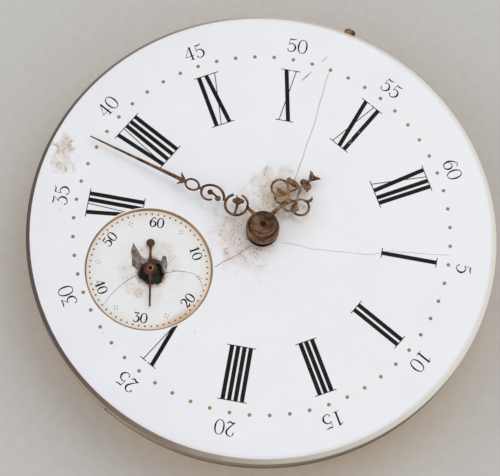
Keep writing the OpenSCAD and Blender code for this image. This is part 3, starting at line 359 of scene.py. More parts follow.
# Dirt held in a hairline crack
CRACK_DIRT = painted("dirt_in_crack", "#DAD4C4", "#C6BDA8", 1.5, 0.7)
# Rust in the crack at the hub and in the seconds dial
DEEP_CRACK = painted("rust_in_crack", "#C3B2A6", "#8F7765", 0.8, 0.7)
# A reddish trace of metal left by a scratch
SCRATCH_TRACE = painted("metal_trace_in_scratch", "#D6BDB0", "#B4978A", 0.5, 0.6)
# Grey ground coat laid bare where the top enamel has flaked away
GROUND_COAT = painted("flaked_ground_coat", "#9C9189", "#5F5148", 0.3, 0.75)
# Old oil gone green on the plate under the seconds dial, darkened as painted shade seen through the broken hole
OLD_OIL_AND_SHADE = painted("old_green_oil_and_shade", "#4F5F4C", "#2A1C11", 0.45, 0.4, gloss=0.2)
# Oil dried black on the seconds pivot and in the bore of the minute boss, and painted shade in these hollows
BLACK_OIL_AND_SHADE = painted("dried_black_oil_and_shade", "#241D18", "#100C0A", 0.2, 0.6, gloss=0.15)
# Fire-gilt brass with a frosted grain, dulled by age
GILT = metal("frosted_gilt_brass", "#DDB972", "#C39C56", 6.0, 0.42, 0.08, 0.1, 0.3, edges=(0.3, 0.72))
# Old brass of the seconds hand's eyelet, dull yellow
BRASS = metal("tarnished_brass", "#B08C52", "#75603F", 3.5, 0.4, 0.1, 0.15, 0.2)
# Brass of the pin in the edge, browned, with pinkish rubbed places
PIN_BRASS = metal("browned_brass", "#A5805F", "#5B4433", 0.6, 0.45, 0.1, 0.15, 0.25)
# Gilt brass of the plate, its rim dull and brown: tarnish, with painted shade darker towards its foot
PLATE_BRASS = edge_brass("tarnished_and_shaded_plate_brass")
# Gilt brass of the wheels, polished, so that it shines more than the bars
WHEEL_BRASS = metal("polished_gilt_brass", "#DFB565", "#C79C50", 4.0, 0.3, 0.05, 0.12, 0.03)
# Polished gold of the jewels' settings, paler than the gilding and bright
SETTING_GOLD = metal("polished_gold", "#F4DA9A", "#E6C274", 1.5, 0.14, 0.03, 0.2, 0.02)
# Gilt ring round the seconds opening, worn to brown
RIM_GILT = metal("worn_gilt_rim", "#C0955A", "#6F4C33", 2.6, 0.5, 0.08, 0.2, 0.15, 0.2)
# Bronze-gilt hands, brown patina with coppery wear
HAND_BRONZE = metal(
    "brown_patina_bronze", "#8A5F42", "#432D22", 0.75, 0.45, 0.12, 0.12, 0.45, 0.85, edges=(0.36, 0.6)
)
# The minute boss of this bronze, dark and turned smooth; on the hour wheel the same dark bronze is painted
# shade in the gap below the hour boss
BOSS_BRONZE = metal(
    "dark_bronze", "#6C503B", "#33251D", 0.9, 0.32, 0.08, 0.1, 0.25, 0.9, edges=(0.36, 0.62)
)
# The hour hand and its boss are paler, rubbed through to tan in places; on the sides of the minute boss the
# same bronze is a painted highlight
HOUR_BRONZE = metal(
    "rubbed_bronze_and_highlight", "#A47C58", "#463026", 0.5, 0.44, 0.12, 0.12, 0.45, 0.85, edges=(0.38, 0.62)
)
# Steel of the seconds hand, rusted to a rough red brown
RUST = metal("rusted_steel", "#6B3B27", "#35201A", 0.5, 0.6, 0.15, 0.08, 0.5, 0.45)
# Steel of the ratchet, click, pinions, lever and regulator, grained with a fine stone
STEEL = metal("grained_steel", "#C6C6C8", "#A8A7AA", 2.5, 0.3, 0.03, 0.1, 0.02)
# The arbors with the key squares, polished brighter
SQUARE_STEEL = metal("polished_steel", "#DCDDDF", "#BDBEC1", 1.0, 0.16, 0.04, 0.1, 0.02)
# Steel heated to a deep blue, smooth and shiny
BLUED = metal("heat_blued_steel", "#2A3C86", "#1B2450", 2.0, 0.22, 0.06, 0.2, 0.08)
# Bare copper of the dial feet, dull
COPPER = metal("dull_copper", "#B0714B", "#7A4A30", 1.5, 0.4, 0.1, 0.2, 0.2)


def ruby(name):
    """Polished corundum: deep red and see-through, with a few paler veils."""
    values = {"Roughness": 0.08, "IOR": 1.77, "Transmission Weight": 0.35}
    material, tree, shader, mm = new_material(name, values)
    veil = add(tree, "TexNoise", {"Vector": mm, "Scale": 1.4, "Detail": 3.0})
    tint = add(tree, "ValToRGB", {"Fac": veil}, stops=[(0.35, "#8E1230"), (0.7, "#C23A58")])
    feed(shader, "Base Color", tint)
    return material


RUBY = ruby("polished_ruby")


# Making pieces by hand


def leave_edit():
    bpy.ops.object.mode_set(mode="OBJECT")


def clear_selection():
    if bpy.context.mode != "OBJECT":
        leave_edit()
    bpy.ops.object.select_all(action="DESELECT")


def select_only(*pieces):
    clear_selection()
    for piece in pieces:
        piece.select_set(True)
    bpy.context.view_layer.objects.active = pieces[0]


def edit_all():
    bpy.ops.object.mode_set(mode="EDIT")
    bpy.ops.mesh.select_all(action="SELECT")


def settle(piece):
    """Puts a piece's place and turn into its mesh, so that the object sits at the origin."""
    select_only(piece)
    bpy.ops.object.transform_apply(location=True, rotation=True, scale=True)


def joined(name, pieces):
    for piece in pieces:
        settle(piece)
    select_only(*pieces)
    if len(pieces) > 1:
        bpy.ops.object.join()
    whole = bpy.context.object
    whole.name = name
    return whole


def copied(piece, matrix):
    """A copy with its own mesh, moved by the matrix."""
    twin = piece.copy()
    twin.data = piece.data.copy()
    bpy.context.collection.objects.link(twin)
    twin.matrix_world = matrix @ piece.matrix_world
    return twin


def smooth(piece, degrees):
    select_only(piece)
    bpy.ops.object.shade_smooth_by_angle(angle=math.radians(degrees))


def give(piece, material, body="frame", nodes=()):
    """Sets the material and says which body carries the piece and which nodes it stands for."""
    piece.data.materials.clear()
    piece.data.materials.append(material)
    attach(piece, body)
    if nodes:
        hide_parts(*nodes)


def turned(name, outline, steps=128, centre=(0.0, 0.0)):
    """A lathe piece: the outline of (radius, height) is drawn by extruding one point, then spun."""
    clear_selection()
    bpy.ops.mesh.primitive_plane_add(size=MM)
    piece = bpy.context.object
    piece.name = name
    edit_all()
    bpy.ops.mesh.merge(type="CENTER")
    r, z = outline[0]
    bpy.ops.transform.translate(value=(r * MM, 0, z * MM))
    for next_r, next_z in outline[1:]:
        step = ((next_r - r) * MM, 0, (next_z - z) * MM)
        bpy.ops.mesh.extrude_region_move(TRANSFORM_OT_translate={"value": step})
        r, z = next_r, next_z
    bpy.ops.mesh.select_all(action="SELECT")
    bpy.ops.mesh.spin(steps=steps, angle=2 * math.pi, center=(0, 0, 0), axis=(0, 0, 1))
    bpy.ops.mesh.select_all(action="SELECT")
    bpy.ops.mesh.remove_doubles(threshold=0.0005 * MM)
    bpy.ops.mesh.normals_make_consistent(inside=False)
    bpy.ops.transform.translate(value=(centre[0] * MM, centre[1] * MM, 0))
    leave_edit()
    return piece


def merged_copy(node, name):
    """A copy of a CAD piece with its loose triangles merged, left in edit mode."""
    copy = bpy.data.objects.new(name, frame["nodes"][node].data.copy())
    bpy.context.collection.objects.link(copy)
    select_only(copy)
    edit_all()
    bpy.ops.mesh.remove_doubles(threshold=0.001 * MM)
    return copy


def cut_away(piece, cutter):
    select_only(piece)
    change = piece.modifiers.new("cut", "BOOLEAN")
    change.operation = "DIFFERENCE"
    change.solver = "EXACT"
    change.object = cutter
    bpy.ops.object.modifier_apply(modifier=change.name)


def drawn(points, flat, closed=False, sides=0, resolution=10):
    """A smooth stroke of (x, y, width) points in millimetres, made a mesh flat times as thick as it is wide."""
    clear_selection()
    bpy.ops.curve.primitive_bezier_curve_add()
    stroke = bpy.context.object
    curve = stroke.data
    curve.dimensions = "3D"
    curve.bevel_depth = 0.5 * MM
    curve.bevel_resolution = sides
    curve.resolution_u = resolution
    curve.use_fill_caps = True
    curve.twist_mode = "Z_UP"
    spline = curve.splines[0]
    spline.bezier_points.add(len(points) - 2)
    spline.use_cyclic_u = closed
    for knot, (x, y, width) in zip(spline.bezier_points, points):
        knot.co = (x * MM, y * MM, 0)
        knot.radius = width
        knot.handle_left_type = "AUTO" if len(points) > 2 else "VECTOR"
        knot.handle_right_type = knot.handle_left_type
    bpy.ops.object.convert(target="MESH")
    edit_all()
    bpy.ops.transform.resize(value=(1, 1, flat))
    bpy.ops.mesh.normals_make_consistent(inside=False)
    leave_edit()
    return bpy.context.object


def at_clock(clock, r=0.0, side=0.0, centre=(0.0, 0.0), z=0.0):
    """A place on the dial: clock in degrees clockwise from XII, then outwards and clockwise sideways."""
    return (
        Matrix.Translation((centre[0] * MM, centre[1] * MM, z * MM))
        @ Matrix.Rotation(-math.radians(clock), 4, "Z")
        @ Matrix.Translation((side * MM, r * MM, 0))
    )


def dome_height(r):
    return DIAL_EDGE_Z + DIAL_DOME * (1 - (r / DOME_R) ** 2)


def lay_on_dial(piece):
    """Raises flat print on to the domed dial."""
    for vertex in piece.data.vertices:
        r = math.hypot(vertex.co.x, vertex.co.y) / MM
        vertex.co.z += (dome_height(r) + INK_LIFT) * MM
    return piece


# Camera and stage, from the ellipse of the minute dots in the photograph

CAMERA_PLACE = Vector((66.21, -34.55, 230.21)) * MM
CAMERA_RIGHT = Vector((0.3444, 0.93805, 0.03808))
CAMERA_UP = Vector((-0.89565, 0.31613, 0.31284))
CAMERA_BACK = Vector((0.28142, -0.14185, 0.94904))
CAMERA_LENS = 182.28


def set_camera():
    clear_selection()
    bpy.ops.object.camera_add()
    camera = bpy.context.object
    turn = Matrix((CAMERA_RIGHT, CAMERA_UP, CAMERA_BACK)).transposed()
    camera.matrix_world = Matrix.Translation(CAMERA_PLACE) @ turn.to_4x4()
    camera.data.lens = CAMERA_LENS
    camera.data.sensor_width = 36
    camera.data.clip_start = 0.01
    camera.data.clip_end = 10
    bpy.context.scene.camera = camera


def add_lamp(name, right, up, back, distance, size, power, tint):
    """A soft lamp, placed by the camera's own right, up and back directions."""
    direction = (CAMERA_RIGHT * right + CAMERA_UP * up + CAMERA_BACK * back).normalized()
    clear_selection()
    bpy.ops.object.light_add(type="AREA", location=direction * distance)
    lamp = bpy.context.object
    lamp.name = name
    lamp.data.shape = "DISK"
    lamp.data.size = size
    lamp.data.energy = power
    lamp.data.color = linear(tint)[:3]
    lamp.rotation_euler = (-direction).to_track_quat("-Z", "Y").to_euler()


def set_stage():
    clear_selection()
    bpy.ops.mesh.primitive_plane_add(size=3.0, location=(0, 0, -0.02 * MM))
    floor = bpy.context.object
    floor.name = "floor"
    material, tree, shader, mm = new_material("pale_card_floor", {"Roughness": 0.8})
    tooth = add(tree, "TexNoise", {"Vector": mm, "Scale": 1.2, "Detail": 4.0})
    tint = add(tree, "ValToRGB", {"Fac": tooth}, stops=[(0.3, "#C6C3BD"), (0.7, "#CBC8C2")])
    feed(shader, "Base Color", tint)
    # The floor shows from above only, and lets light through, so the underside can be looked at
    seen = add(tree, "LightPath")
    below = add(tree, "NewGeometry").outputs["Backfacing"]
    above = add(tree, "Math", {0: 1.0, 1: below}, operation="SUBTRACT")
    camera_ray, glossy_ray = seen.outputs["Is Camera Ray"], seen.outputs["Is Glossy Ray"]
    mirror = add(tree, "Math", {0: camera_ray, 1: glossy_ray}, operation="MAXIMUM")
    glass = add(tree, "Math", {0: mirror, 1: seen.outputs["Is Transmission Ray"]}, operation="MAXIMUM")
    shown = add(tree, "Math", {0: glass, 1: above}, operation="MULTIPLY")
    clear = add(tree, "BsdfTransparent")
    mix = add(tree, "MixShader", {0: shown, 1: clear, 2: shader})
    output = next(n for n in tree.nodes if n.type == "OUTPUT_MATERIAL")
    tree.links.new(mix.outputs[0], output.inputs["Surface"])
    floor.data.materials.append(material)
    world = bpy.data.worlds.new("studio")
    bpy.context.scene.world = world
    world.use_nodes = True
    background = world.node_tree.nodes["Background"]
    background.inputs["Color"].default_value = linear("#EDF0F5")
    background.inputs["Strength"].default_value = 0.8
    # Each lamp's right, up and back, its distance and size in metres, its power in watts and its colour
    add_lamp("window", 0.45, 0.7, 1.0, 0.5, 0.42, 0.57, "#FFFAF2")
    add_lamp("fill", -0.9, 0.1, 0.8, 0.45, 0.3, 0.2, "#F2F6FF")
    # The underside has a pair of its own
    add_lamp("under", 0.1, 0.2, -1.0, 0.3, 0.25, 0.6, "#FFFFFF")
    add_lamp("under_side", -0.9, -0.5, -0.6, 0.3, 0.2, 0.5, "#FFF8EE")
    bpy.context.scene.view_settings.view_transform = "Standard"


set_camera()
set_stage()


# Enamel dial: a domed disc with a sloped edge, a centre hole and the opening for the seconds dial


def make_dial():
    rings = 14
    edge = [
        (DIAL_HOLE_R, DIAL_SEAT_Z),
        (DIAL_FOOT_R - 0.1, DIAL_SEAT_Z),
        (DIAL_FOOT_R - 0.03, DIAL_SEAT_Z + 0.03),
        (DIAL_FOOT_R, DIAL_SEAT_Z + 0.1),
        (DIAL_FOOT_R, DIAL_SEAT_Z + 0.2),
        (DIAL_FOOT_R - 0.03, DIAL_SEAT_Z + 0.26),
        (DIAL_R + 0.03, DIAL_EDGE_Z - 0.14),
        (DIAL_R - 0.03, DIAL_EDGE_Z - 0.08),
        (DIAL_R - 0.13, DIAL_EDGE_Z - 0.02),
    ]
    span = DOME_R - DIAL_HOLE_R - 0.06
    dome = [(DOME_R - span * i / rings, dome_height(DOME_R - span * i / rings)) for i in range(rings + 1)]
    lip = [(DIAL_HOLE_R, dome_height(DIAL_HOLE_R) - 0.06), (DIAL_HOLE_R, DIAL_SEAT_Z)]
    dial = turned("enamel_dial", edge + dome + lip, 256)
    below, above = DIAL_SEAT_Z - 0.7, DIAL_EDGE_Z + 0.27
    opening = [
        (0, below),
        (SECONDS_DISC_R + 0.02, below),
        (SECONDS_DISC_R + 0.02, SECONDS_Z),
        (SECONDS_R - 0.1, SECONDS_Z),
        (SECONDS_R + 0.22, above),
        (0, above),
    ]
    cutter = turned("seconds_cutter", opening, 160, OPENING_AT)
    cut_away(dial, cutter)
    bpy.data.objects.remove(cutter)
    smooth(dial, 25)
    give(dial, ENAMEL, nodes=("dial",))


def make_seconds_rim():
    """The ground edge of the opening, gilded: a thin bevel from the dial down to the seconds dial."""
    top = dome_height(OPENING_AT[1])
    rim = turned(
        "seconds_rim",
        [
            (SECONDS_R - 0.08, SECONDS_Z + 0.004),
            (SECONDS_R - 0.07, SECONDS_Z + 0.03),
            (SECONDS_R - 0.01, top - 0.03),
            (SECONDS_R + 0.02, top + 0.006),
            (SECONDS_R + 0.08, top + 0.006),
            (SECONDS_R + 0.12, top - 0.01),
            (SECONDS_R + 0.04, SECONDS_Z + 0.004),
            (SECONDS_R - 0.08, SECONDS_Z + 0.004),
        ],
        160,
        OPENING_AT,
    )
    for vertex in rim.data.vertices:
        if vertex.co.z > (SECONDS_Z + 0.05) * MM:
            vertex.co.z += (dome_height(vertex.co.xy.length / MM) - top) * MM
    smooth(rim, 40)
    give(rim, RIM_GILT)


# Seconds dial with the broken edge round its arbor: flakes and cracks, from the arbor, in millimetres

FLAKES = [
    [(-3.05, -0.58), (-2.35, -1.06), (-1.7, -1.2), (-1.0, -1.45), (-0.3, -1.0), (-0.9, 0.05), (-1.6, -0.34)],
    [(-0.4, 1.0), (-0.58, 1.3), (-0.95, 1.52), (-0.78, 1.84), (-0.2, 1.74), (0.3, 1.55), (0.6, 1.0)],
]
SECONDS_CRACKS = [
    [(0.0, -1.15), (0.12, -1.8), (0.23, -2.34), (0.5, -3.1), (0.78, -3.73), (1.15, -4.4), (1.6, -5.0)],
    [(0.7, 1.2), (0.8, 1.75), (0.87, 2.22), (1.1, 2.75), (1.37, 3.24), (2.02, 3.91), (3.2, 4.0)],
]


def broken_edge(angle):
    """Radius of the broken hole, in millimetres, by the angle round its middle."""
    wide = 0.07 * math.sin(3 * angle + 0.7)
    fine = 0.05 * math.sin(7 * angle) + 0.03 * math.sin(17 * angle + 1.0)
    return HOLE_R + wide + fine


def make_seconds_dial():
    low = SECONDS_Z - SECONDS_T
    rings = [SECONDS_DISC_R, 5.0, 3.6, 2.4, 1.75, HOLE_R]
    outline = [(HOLE_R, low), (SECONDS_DISC_R, low)] + [(r, SECONDS_Z) for r in rings] + [(HOLE_R, low)]
    small_dial = turned("seconds_dial_enamel", outline, 128)
    # The round hole becomes a broken one, wider at the top where the enamel has chipped
    for vertex in small_dial.data.vertices:
        r = vertex.co.xy.length / MM
        if r < HOLE_R + 0.1:
            chipped = 0.0 if vertex.co.z > (SECONDS_Z - 0.1) * MM else -0.16
            ragged = broken_edge(math.atan2(vertex.co.y, vertex.co.x)) + chipped
            vertex.co.xy = vertex.co.xy * (ragged / r) + Vector(HOLE_AT) * MM
    small_dial.location = (OPENING_AT[0] * MM, OPENING_AT[1] * MM, 0)
    settle(small_dial)
    smooth(small_dial, 30)
    give(small_dial, SECONDS_ENAMEL, nodes=("seconds_dial",))


def flake(points):
    """A flat flake scar: a polygon with its corners moved to the given places, its edges roughened."""
    clear_selection()
    bpy.ops.mesh.primitive_circle_add(vertices=len(points), radius=MM, fill_type="NGON")
    scar = bpy.context.object
    for vertex, (x, y) in zip(scar.data.vertices, points):
        vertex.co = (x * MM, y * MM, 0)
    edit_all()
    bpy.ops.mesh.subdivide(number_cuts=2, fractal=0.1, seed=3)
    bpy.ops.mesh.normals_make_consistent(inside=False)
    leave_edit()
    for vertex in scar.data.vertices:
        vertex.co.z = 0
    wall = scar.modifiers.new("thickness", "SOLIDIFY")
    wall.thickness = 0.01 * MM
    bpy.ops.object.modifier_apply(modifier=wall.name)
    return scar


def make_seconds_damage():
    """Flake scars beside the hole, and the cracks that run out from it."""
    place = Matrix.Translation((SECONDS_AT[0] * MM, SECONDS_AT[1] * MM, (SECONDS_Z + 0.003) * MM))
    scars = [flake(points) for points in FLAKES]
    for scar in scars:
        scar.matrix_world = place
    scars = joined("seconds_flakes", scars)
    low, high = SECONDS_Z - 0.35, SECONDS_Z + 0.25
    hole = turned("hole_cutter", [(0, low), (HOLE_R, low), (HOLE_R, high), (0, high)], 64, HOLE_MIDDLE)
    cut_away(scars, hole)
    bpy.data.objects.remove(hole)
    give(scars, GROUND_COAT)
    cracks = []
    for line in SECONDS_CRACKS:
        widths = [0.075 - 0.045 * i / len(line) for i in range(len(line))]
        crack = drawn([(x, y, w) for (x, y), w in zip(line, widths)], 0.1)
        crack.matrix_world = place
        cracks.append(crack)
    give(joined("seconds_cracks", cracks), DEEP_CRACK)
    # A film of old green oil on the plate, darkened as painted shade under the broken hole
    puddle = [(0.22, OIL_Z), (2.3, OIL_Z), (2.2, OIL_Z + 0.02), (0.22, OIL_Z + 0.03), (0.22, OIL_Z)]
    film = turned("oil_film_and_shade", puddle, 64, SECONDS_AT)
    give(film, OLD_OIL_AND_SHADE)


make_dial()
make_seconds_rim()
make_seconds_dial()
make_seconds_damage()


# Roman numerals: each stroke is (sideways at the outer end, sideways at the inner end, width)

ROMAN = {
    0: [(-0.72, -0.31, BAR), (0.01, -0.99, THIN), (0.42, 0.43, BAR), (1.02, 0.98, BAR)],
    30: [(0, 0, BAR)],
    60: [(-0.31, -0.31, BAR), (0.29, 0.29, BAR)],
    90: [(-0.7, -0.69, BAR), (-0.13, -0.11, BAR), (0.44, 0.43, BAR)],
    120: [(-0.93, -0.9, BAR), (-0.34, -0.32, BAR), (0.25, 0.26, BAR), (0.84, 0.84, BAR)],
    150: [(-0.53, 0.42, BAR), (0.45, 0.3, THIN)],
    210: [(-1.05, -0.52, BAR), (-0.2, -0.5, THIN), (0.2, 0.15, BAR), (0.8, 0.78, BAR)],
    240: [(-1.42, -0.91, BAR), (-0.59, -0.9, THIN), (-0.2, -0.25, BAR), (0.37, 0.42, BAR), (0.99, 1.06, BAR)],
    270: [(-0.34, -0.4, BAR), (0.38, 0.88, BAR), (1.25, 0.05, THIN)],
    300: [(-0.47, 0.54, BAR), (0.48, -0.33, THIN)],
    330: [(-0.85, 0.05, BAR), (0.1, -0.75, THIN), (0.62, 0.62, BAR)],
}
# The seconds opening takes the foot of one numeral away, and cuts into this pair
FOOTLESS = 150
BESIDE_OPENING = (150, 210)


def straight_stroke(outer, inner, width, r_out=NUMERAL_OUT, r_in=NUMERAL_IN):
    """One straight stroke, cut square to the numeral at both ends: a flat slab leaned over."""
    clear_selection()
    bpy.ops.mesh.primitive_cube_add(size=MM)
    slab = bpy.context.object
    edit_all()
    bpy.ops.transform.resize(value=(width, r_out - r_in, 0.02))
    bpy.ops.mesh.subdivide(number_cuts=3)
    leave_edit()
    middle = (r_out + r_in) / 2
    for vertex in slab.data.vertices:
        share = vertex.co.y / MM / (r_out - r_in) + 0.5
        vertex.co.x += (inner + (outer - inner) * share) * MM
        vertex.co.y += middle * MM
    return slab


def make_roman_numerals():
    opening = turned(
        "opening_cutter",
        [(0, -0.5), (SECONDS_R + 0.2, -0.5), (SECONDS_R + 0.2, 0.5), (0, 0.5)],
        128,
        OPENING_AT,
    )
    strokes = []
    for clock, bars in ROMAN.items():
        made = [straight_stroke(*bar) for bar in bars]
        for outer, inner, width in bars:
            serif = BAR_SERIF if width == BAR else THIN_SERIF
            ends = [(outer, NUMERAL_OUT)] if clock == FOOTLESS else [(outer, NUMERAL_OUT), (inner, NUMERAL_IN)]
            for side, r in ends:
                made.append(straight_stroke(side, side, serif, r + SERIF_HALF, r - SERIF_HALF))
        for stroke in made:
            stroke.matrix_world = at_clock(clock)
            if clock in BESIDE_OPENING:
                settle(stroke)
                cut_away(stroke, opening)
        strokes += made
    bpy.data.objects.remove(opening)
    numerals = lay_on_dial(joined("roman_numerals", strokes))
    give(numerals, INK)


# Figures: strokes of (x, y, width) in a figure one unit tall. Only the nought's stroke is closed

FIGURES = {
    "0": [[(0.32, 1.0, 0.05), (0.61, 0.5, 0.14), (0.32, 0.0, 0.05), (0.03, 0.5, 0.14)]],
    "1": [
        [(0.34, 1.0, 0.15), (0.34, 0.0, 0.15)],
        [(0.1, 0.82, 0.04), (0.34, 0.98, 0.07)],
        [(0.14, 0.02, 0.045), (0.54, 0.02, 0.045)],
    ],
    "2": [
        [(0.08, 0.74, 0.12), (0.14, 0.93, 0.05), (0.34, 1.0, 0.07)]
        + [(0.56, 0.76, 0.15), (0.4, 0.42, 0.1), (0.06, 0.04, 0.05)],
        [(0.06, 0.05, 0.05), (0.22, 0.1, 0.12), (0.42, 0.04, 0.12), (0.6, 0.18, 0.05)],
    ],
    "3": [
        [(0.06, 0.97, 0.1), (0.3, 0.94, 0.1), (0.56, 0.98, 0.05)],
        [(0.55, 0.97, 0.045), (0.24, 0.58, 0.05)],
        [(0.22, 0.58, 0.05), (0.42, 0.6, 0.08), (0.58, 0.3, 0.16)]
        + [(0.34, 0.01, 0.07), (0.12, 0.05, 0.05), (0.07, 0.17, 0.11)],
    ],
    "4": [
        [(0.44, 1.0, 0.14), (0.44, 0.0, 0.14)],
        [(0.42, 0.98, 0.045), (0.0, 0.3, 0.04)],
        [(0.0, 0.3, 0.045), (0.64, 0.3, 0.045)],
        [(0.28, 0.02, 0.045), (0.6, 0.02, 0.045)],
    ],
    "5": [
        [(0.13, 0.95, 0.1), (0.34, 0.93, 0.1), (0.56, 1.0, 0.05)],
        [(0.13, 0.96, 0.045), (0.1, 0.52, 0.045)],
        [(0.1, 0.52, 0.05), (0.3, 0.63, 0.07), (0.57, 0.32, 0.16)]
        + [(0.32, 0.01, 0.07), (0.12, 0.05, 0.05), (0.06, 0.18, 0.11)],
    ],
    "6": [
        [(0.54, 0.86, 0.09), (0.4, 0.99, 0.05), (0.18, 0.8, 0.09), (0.05, 0.36, 0.15)]
        + [(0.3, 0.0, 0.06), (0.58, 0.3, 0.15), (0.34, 0.6, 0.06), (0.1, 0.42, 0.05)],
    ],
}
CLOSED_FIGURE = "0"
FIGURE_STEP = 0.74


def make_figures(height, weight):
    """Each figure modelled once, at its height in millimetres."""
    made = {}
    for figure, strokes in FIGURES.items():
        pieces = []
        for points in strokes:
            scaled = [(x * height, y * height, w * height * weight) for x, y, w in points]
            pieces.append(drawn(scaled, 0.12, figure == CLOSED_FIGURE, 0, 8))
        made[figure] = joined("figure_" + figure, pieces)
    return made


def set_number(figures, number, height, matrix, upright=True):
    """Copies of the figures of a number, set side by side round its middle."""
    text = str(number)
    width = (FIGURE_STEP * (len(text) - 1) + 0.64) * height
    if not upright:
        matrix = matrix @ Matrix.Rotation(math.pi, 4, "Z") @ Matrix.Translation((0, -height * MM, 0))
    copies = []
    for i, figure in enumerate(text):
        along = (FIGURE_STEP * i * height - width / 2) * MM
        copies.append(copied(figures[figure], matrix @ Matrix.Translation((along, 0, 0))))
    return copies


def discard(figures):
    for piece in figures.values():
        bpy.data.objects.remove(piece)


def make_minute_numerals():
    figures = make_figures(MINUTE_FIGURE_H, 0.84)
    copies = []
    for number in range(5, 61, 5):
        place = at_clock(number * 6.0, MINUTE_FIGURE_R, MINUTE_FIGURE_SIDE)
        copies += set_number(figures, number, MINUTE_FIGURE_H, place)
    numerals = joined("minute_numerals", copies)
    discard(figures)
    give(lay_on_dial(numerals), INK)


def one_dot(r, height):
    """A drop of paint: a low button with its top drawn in."""
    clear_selection()
    bpy.ops.mesh.primitive_circle_add(vertices=16, radius=r * MM, fill_type="NGON")
    dot = bpy.context.object
    edit_all()
    bpy.ops.mesh.extrude_region_move(TRANSFORM_OT_translate={"value": (0, 0, height * 0.6 * MM)})
    bpy.ops.mesh.inset(thickness=r * 0.35 * MM)
    bpy.ops.transform.translate(value=(0, 0, height * 0.4 * MM))
    bpy.ops.mesh.select_all(action="SELECT")
    bpy.ops.mesh.normals_make_consistent(inside=False)
    leave_edit()
    return dot


def make_minute_dots():
    dot = one_dot(DOT_R, 0.02)
    dots = [copied(dot, at_clock(6.0 * i, DOT_RING)) for i in range(60)]
    bpy.data.objects.remove(dot)
    give(lay_on_dial(joined("minute_dots", dots)), DOT_GOLD)


def make_seconds_print():
    figures = make_figures(SECONDS_FIGURE_H, 1.3)
    copies = []
    for number in range(10, 61, 10):
        clock = SECONDS_TURN + number * 6.0
        upright = number in (10, 50, 60)
        place = at_clock(clock, SECONDS_FIGURE_R, 0.0, OPENING_AT, SECONDS_Z + INK_LIFT)
        copies += set_number(figures, number, SECONDS_FIGURE_H, place, upright)
    discard(figures)
    give(joined("seconds_numerals", copies), INK)
    dot = one_dot(SECONDS_DOT_R, 0.012)
    dots = []
    for i in range(60):
        place = at_clock(SECONDS_TURN + 6.0 * i, SECONDS_DOT_RING, 0, OPENING_AT, SECONDS_Z)
        dots.append(copied(dot, place))
    small = one_dot(FLOWER_DOT_R, 0.01)
    for i in range(6):
        for out, side in FLOWER:
            place = at_clock(SECONDS_TURN + 30.0 + 60.0 * i, FLOWER_RING + out, side, OPENING_AT, SECONDS_Z)
            dots.append(copied(small, place))
    bpy.data.objects.remove(dot)
    bpy.data.objects.remove(small)
    give(joined("seconds_dots", dots), DOT_BROWN)


make_roman_numerals()
make_minute_numerals()
make_minute_dots()
make_seconds_print()


# Hairline cracks and scratches


def wandering(start, end, steps, stray, width):
    """Points of a crack that wanders a little off the straight line, thinner towards its end."""
    line = Vector(end) - Vector(start)
    across = Vector((-line.y, line.x)).normalized()
    points = []
    drift = 0.0
    for i in range(steps + 1):
        share = i / steps
        drift += random.uniform(-stray, stray)
        spot = Vector(start) + line * share + across * drift * math.sin(math.pi * share)
        points.append((spot.x, spot.y, width * (1 - 0.2 * share)))
    return points


# Places that each crack runs through, in millimetres; the last, at the hub, is the darkest
DIAL_CRACKS = [
    [(-2.9, 3.8), (-4.6, 5.3), (-6.27, 6.6), (-9.63, 9.17), (-11.5, 10.5), (-13.3, 11.9)],
    [(1.6, 1.3), (2.5, 2.9), (3.43, 4.45), (4.63, 6.97), (5.5, 9.0), (5.72, 10.6), (6.9, 13.2), (7.9, 15.6)],
    [(1.77, -5.3), (1.55, -4.2), (1.45, -3.4), (1.15, -2.2), (0.95, -1.45)],
]
CRACK_WIDTHS = (0.08, 0.05, 0.07)
# Two short scratches beyond X: places and widths, in millimetres
DIAL_SCRATCHES = [
    [(-12.92, 8.76, 0.07), (-13.18, 9.35, 0.13), (-13.47, 9.98, 0.06)],
    [(-14.11, 11.24, 0.06), (-14.27, 11.62, 0.08), (-14.41, 11.94, 0.05)],
]


def make_cracks():
    """Hairline cracks, each wandering a little between its places, and the scratches."""
    strokes = []
    for line, width in zip(DIAL_CRACKS, CRACK_WIDTHS):
        points = [(line[0][0], line[0][1], width)]
        for start, end in zip(line, line[1:]):
            points += wandering(start, end, 3, 0.05, width)[1:]
        strokes.append(drawn(points, 0.1))
    give(lay_on_dial(joined("hub_crack", [strokes.pop()])), DEEP_CRACK)
    give(lay_on_dial(joined("dial_cracks", strokes)), CRACK_DIRT)
    scratches = [drawn(line, 0.1) for line in DIAL_SCRATCHES]
    give(lay_on_dial(joined("dial_scratches", scratches)), SCRATCH_TRACE)


make_cracks()


# Hands: pierced scrolls drawn as round-edged bars, then turned and set at their heights


def disc(x, y, r, thick):
    """A flat round knob, its rim drawn in."""
    clear_selection()
    place = (x * MM, y * MM, 0)
    bpy.ops.mesh.primitive_uv_sphere_add(segments=24, ring_count=12, radius=r * MM, location=place)
    knob = bpy.context.object
    edit_all()
    bpy.ops.transform.resize(value=(1, 1, thick / (2 * r)))
    leave_edit()
    return knob


def ring_points(x, y, r, start, sweep, width, end_width, squeeze=1.0):
    """Points of a ring or an arc of one, from its start through its sweep in degrees."""
    count = max(6, int(abs(sweep) / 30))
    points = []
    for i in range(count + (0 if sweep >= 360 else 1)):
        angle = math.radians(start + sweep * i / count)
        thick = width + (end_width - width) * i / count
        points.append((x + r * math.cos(angle), y + r * squeeze * math.sin(angle), thick))
    return points


def scroll(points, closed=False):
    """A round-edged bar of a hand."""
    return drawn(points, 0.75, closed, 3, 8)


def collar(r_in, r_out, thick):
    """The flat ring by which a hand sits on its boss."""
    half, rim = thick / 2, r_out - 0.04
    outline = [(r_in, -half), (rim, -half), (r_out, 0), (rim, half), (r_in, half), (r_in, -half)]
    return turned("collar", outline, 64)


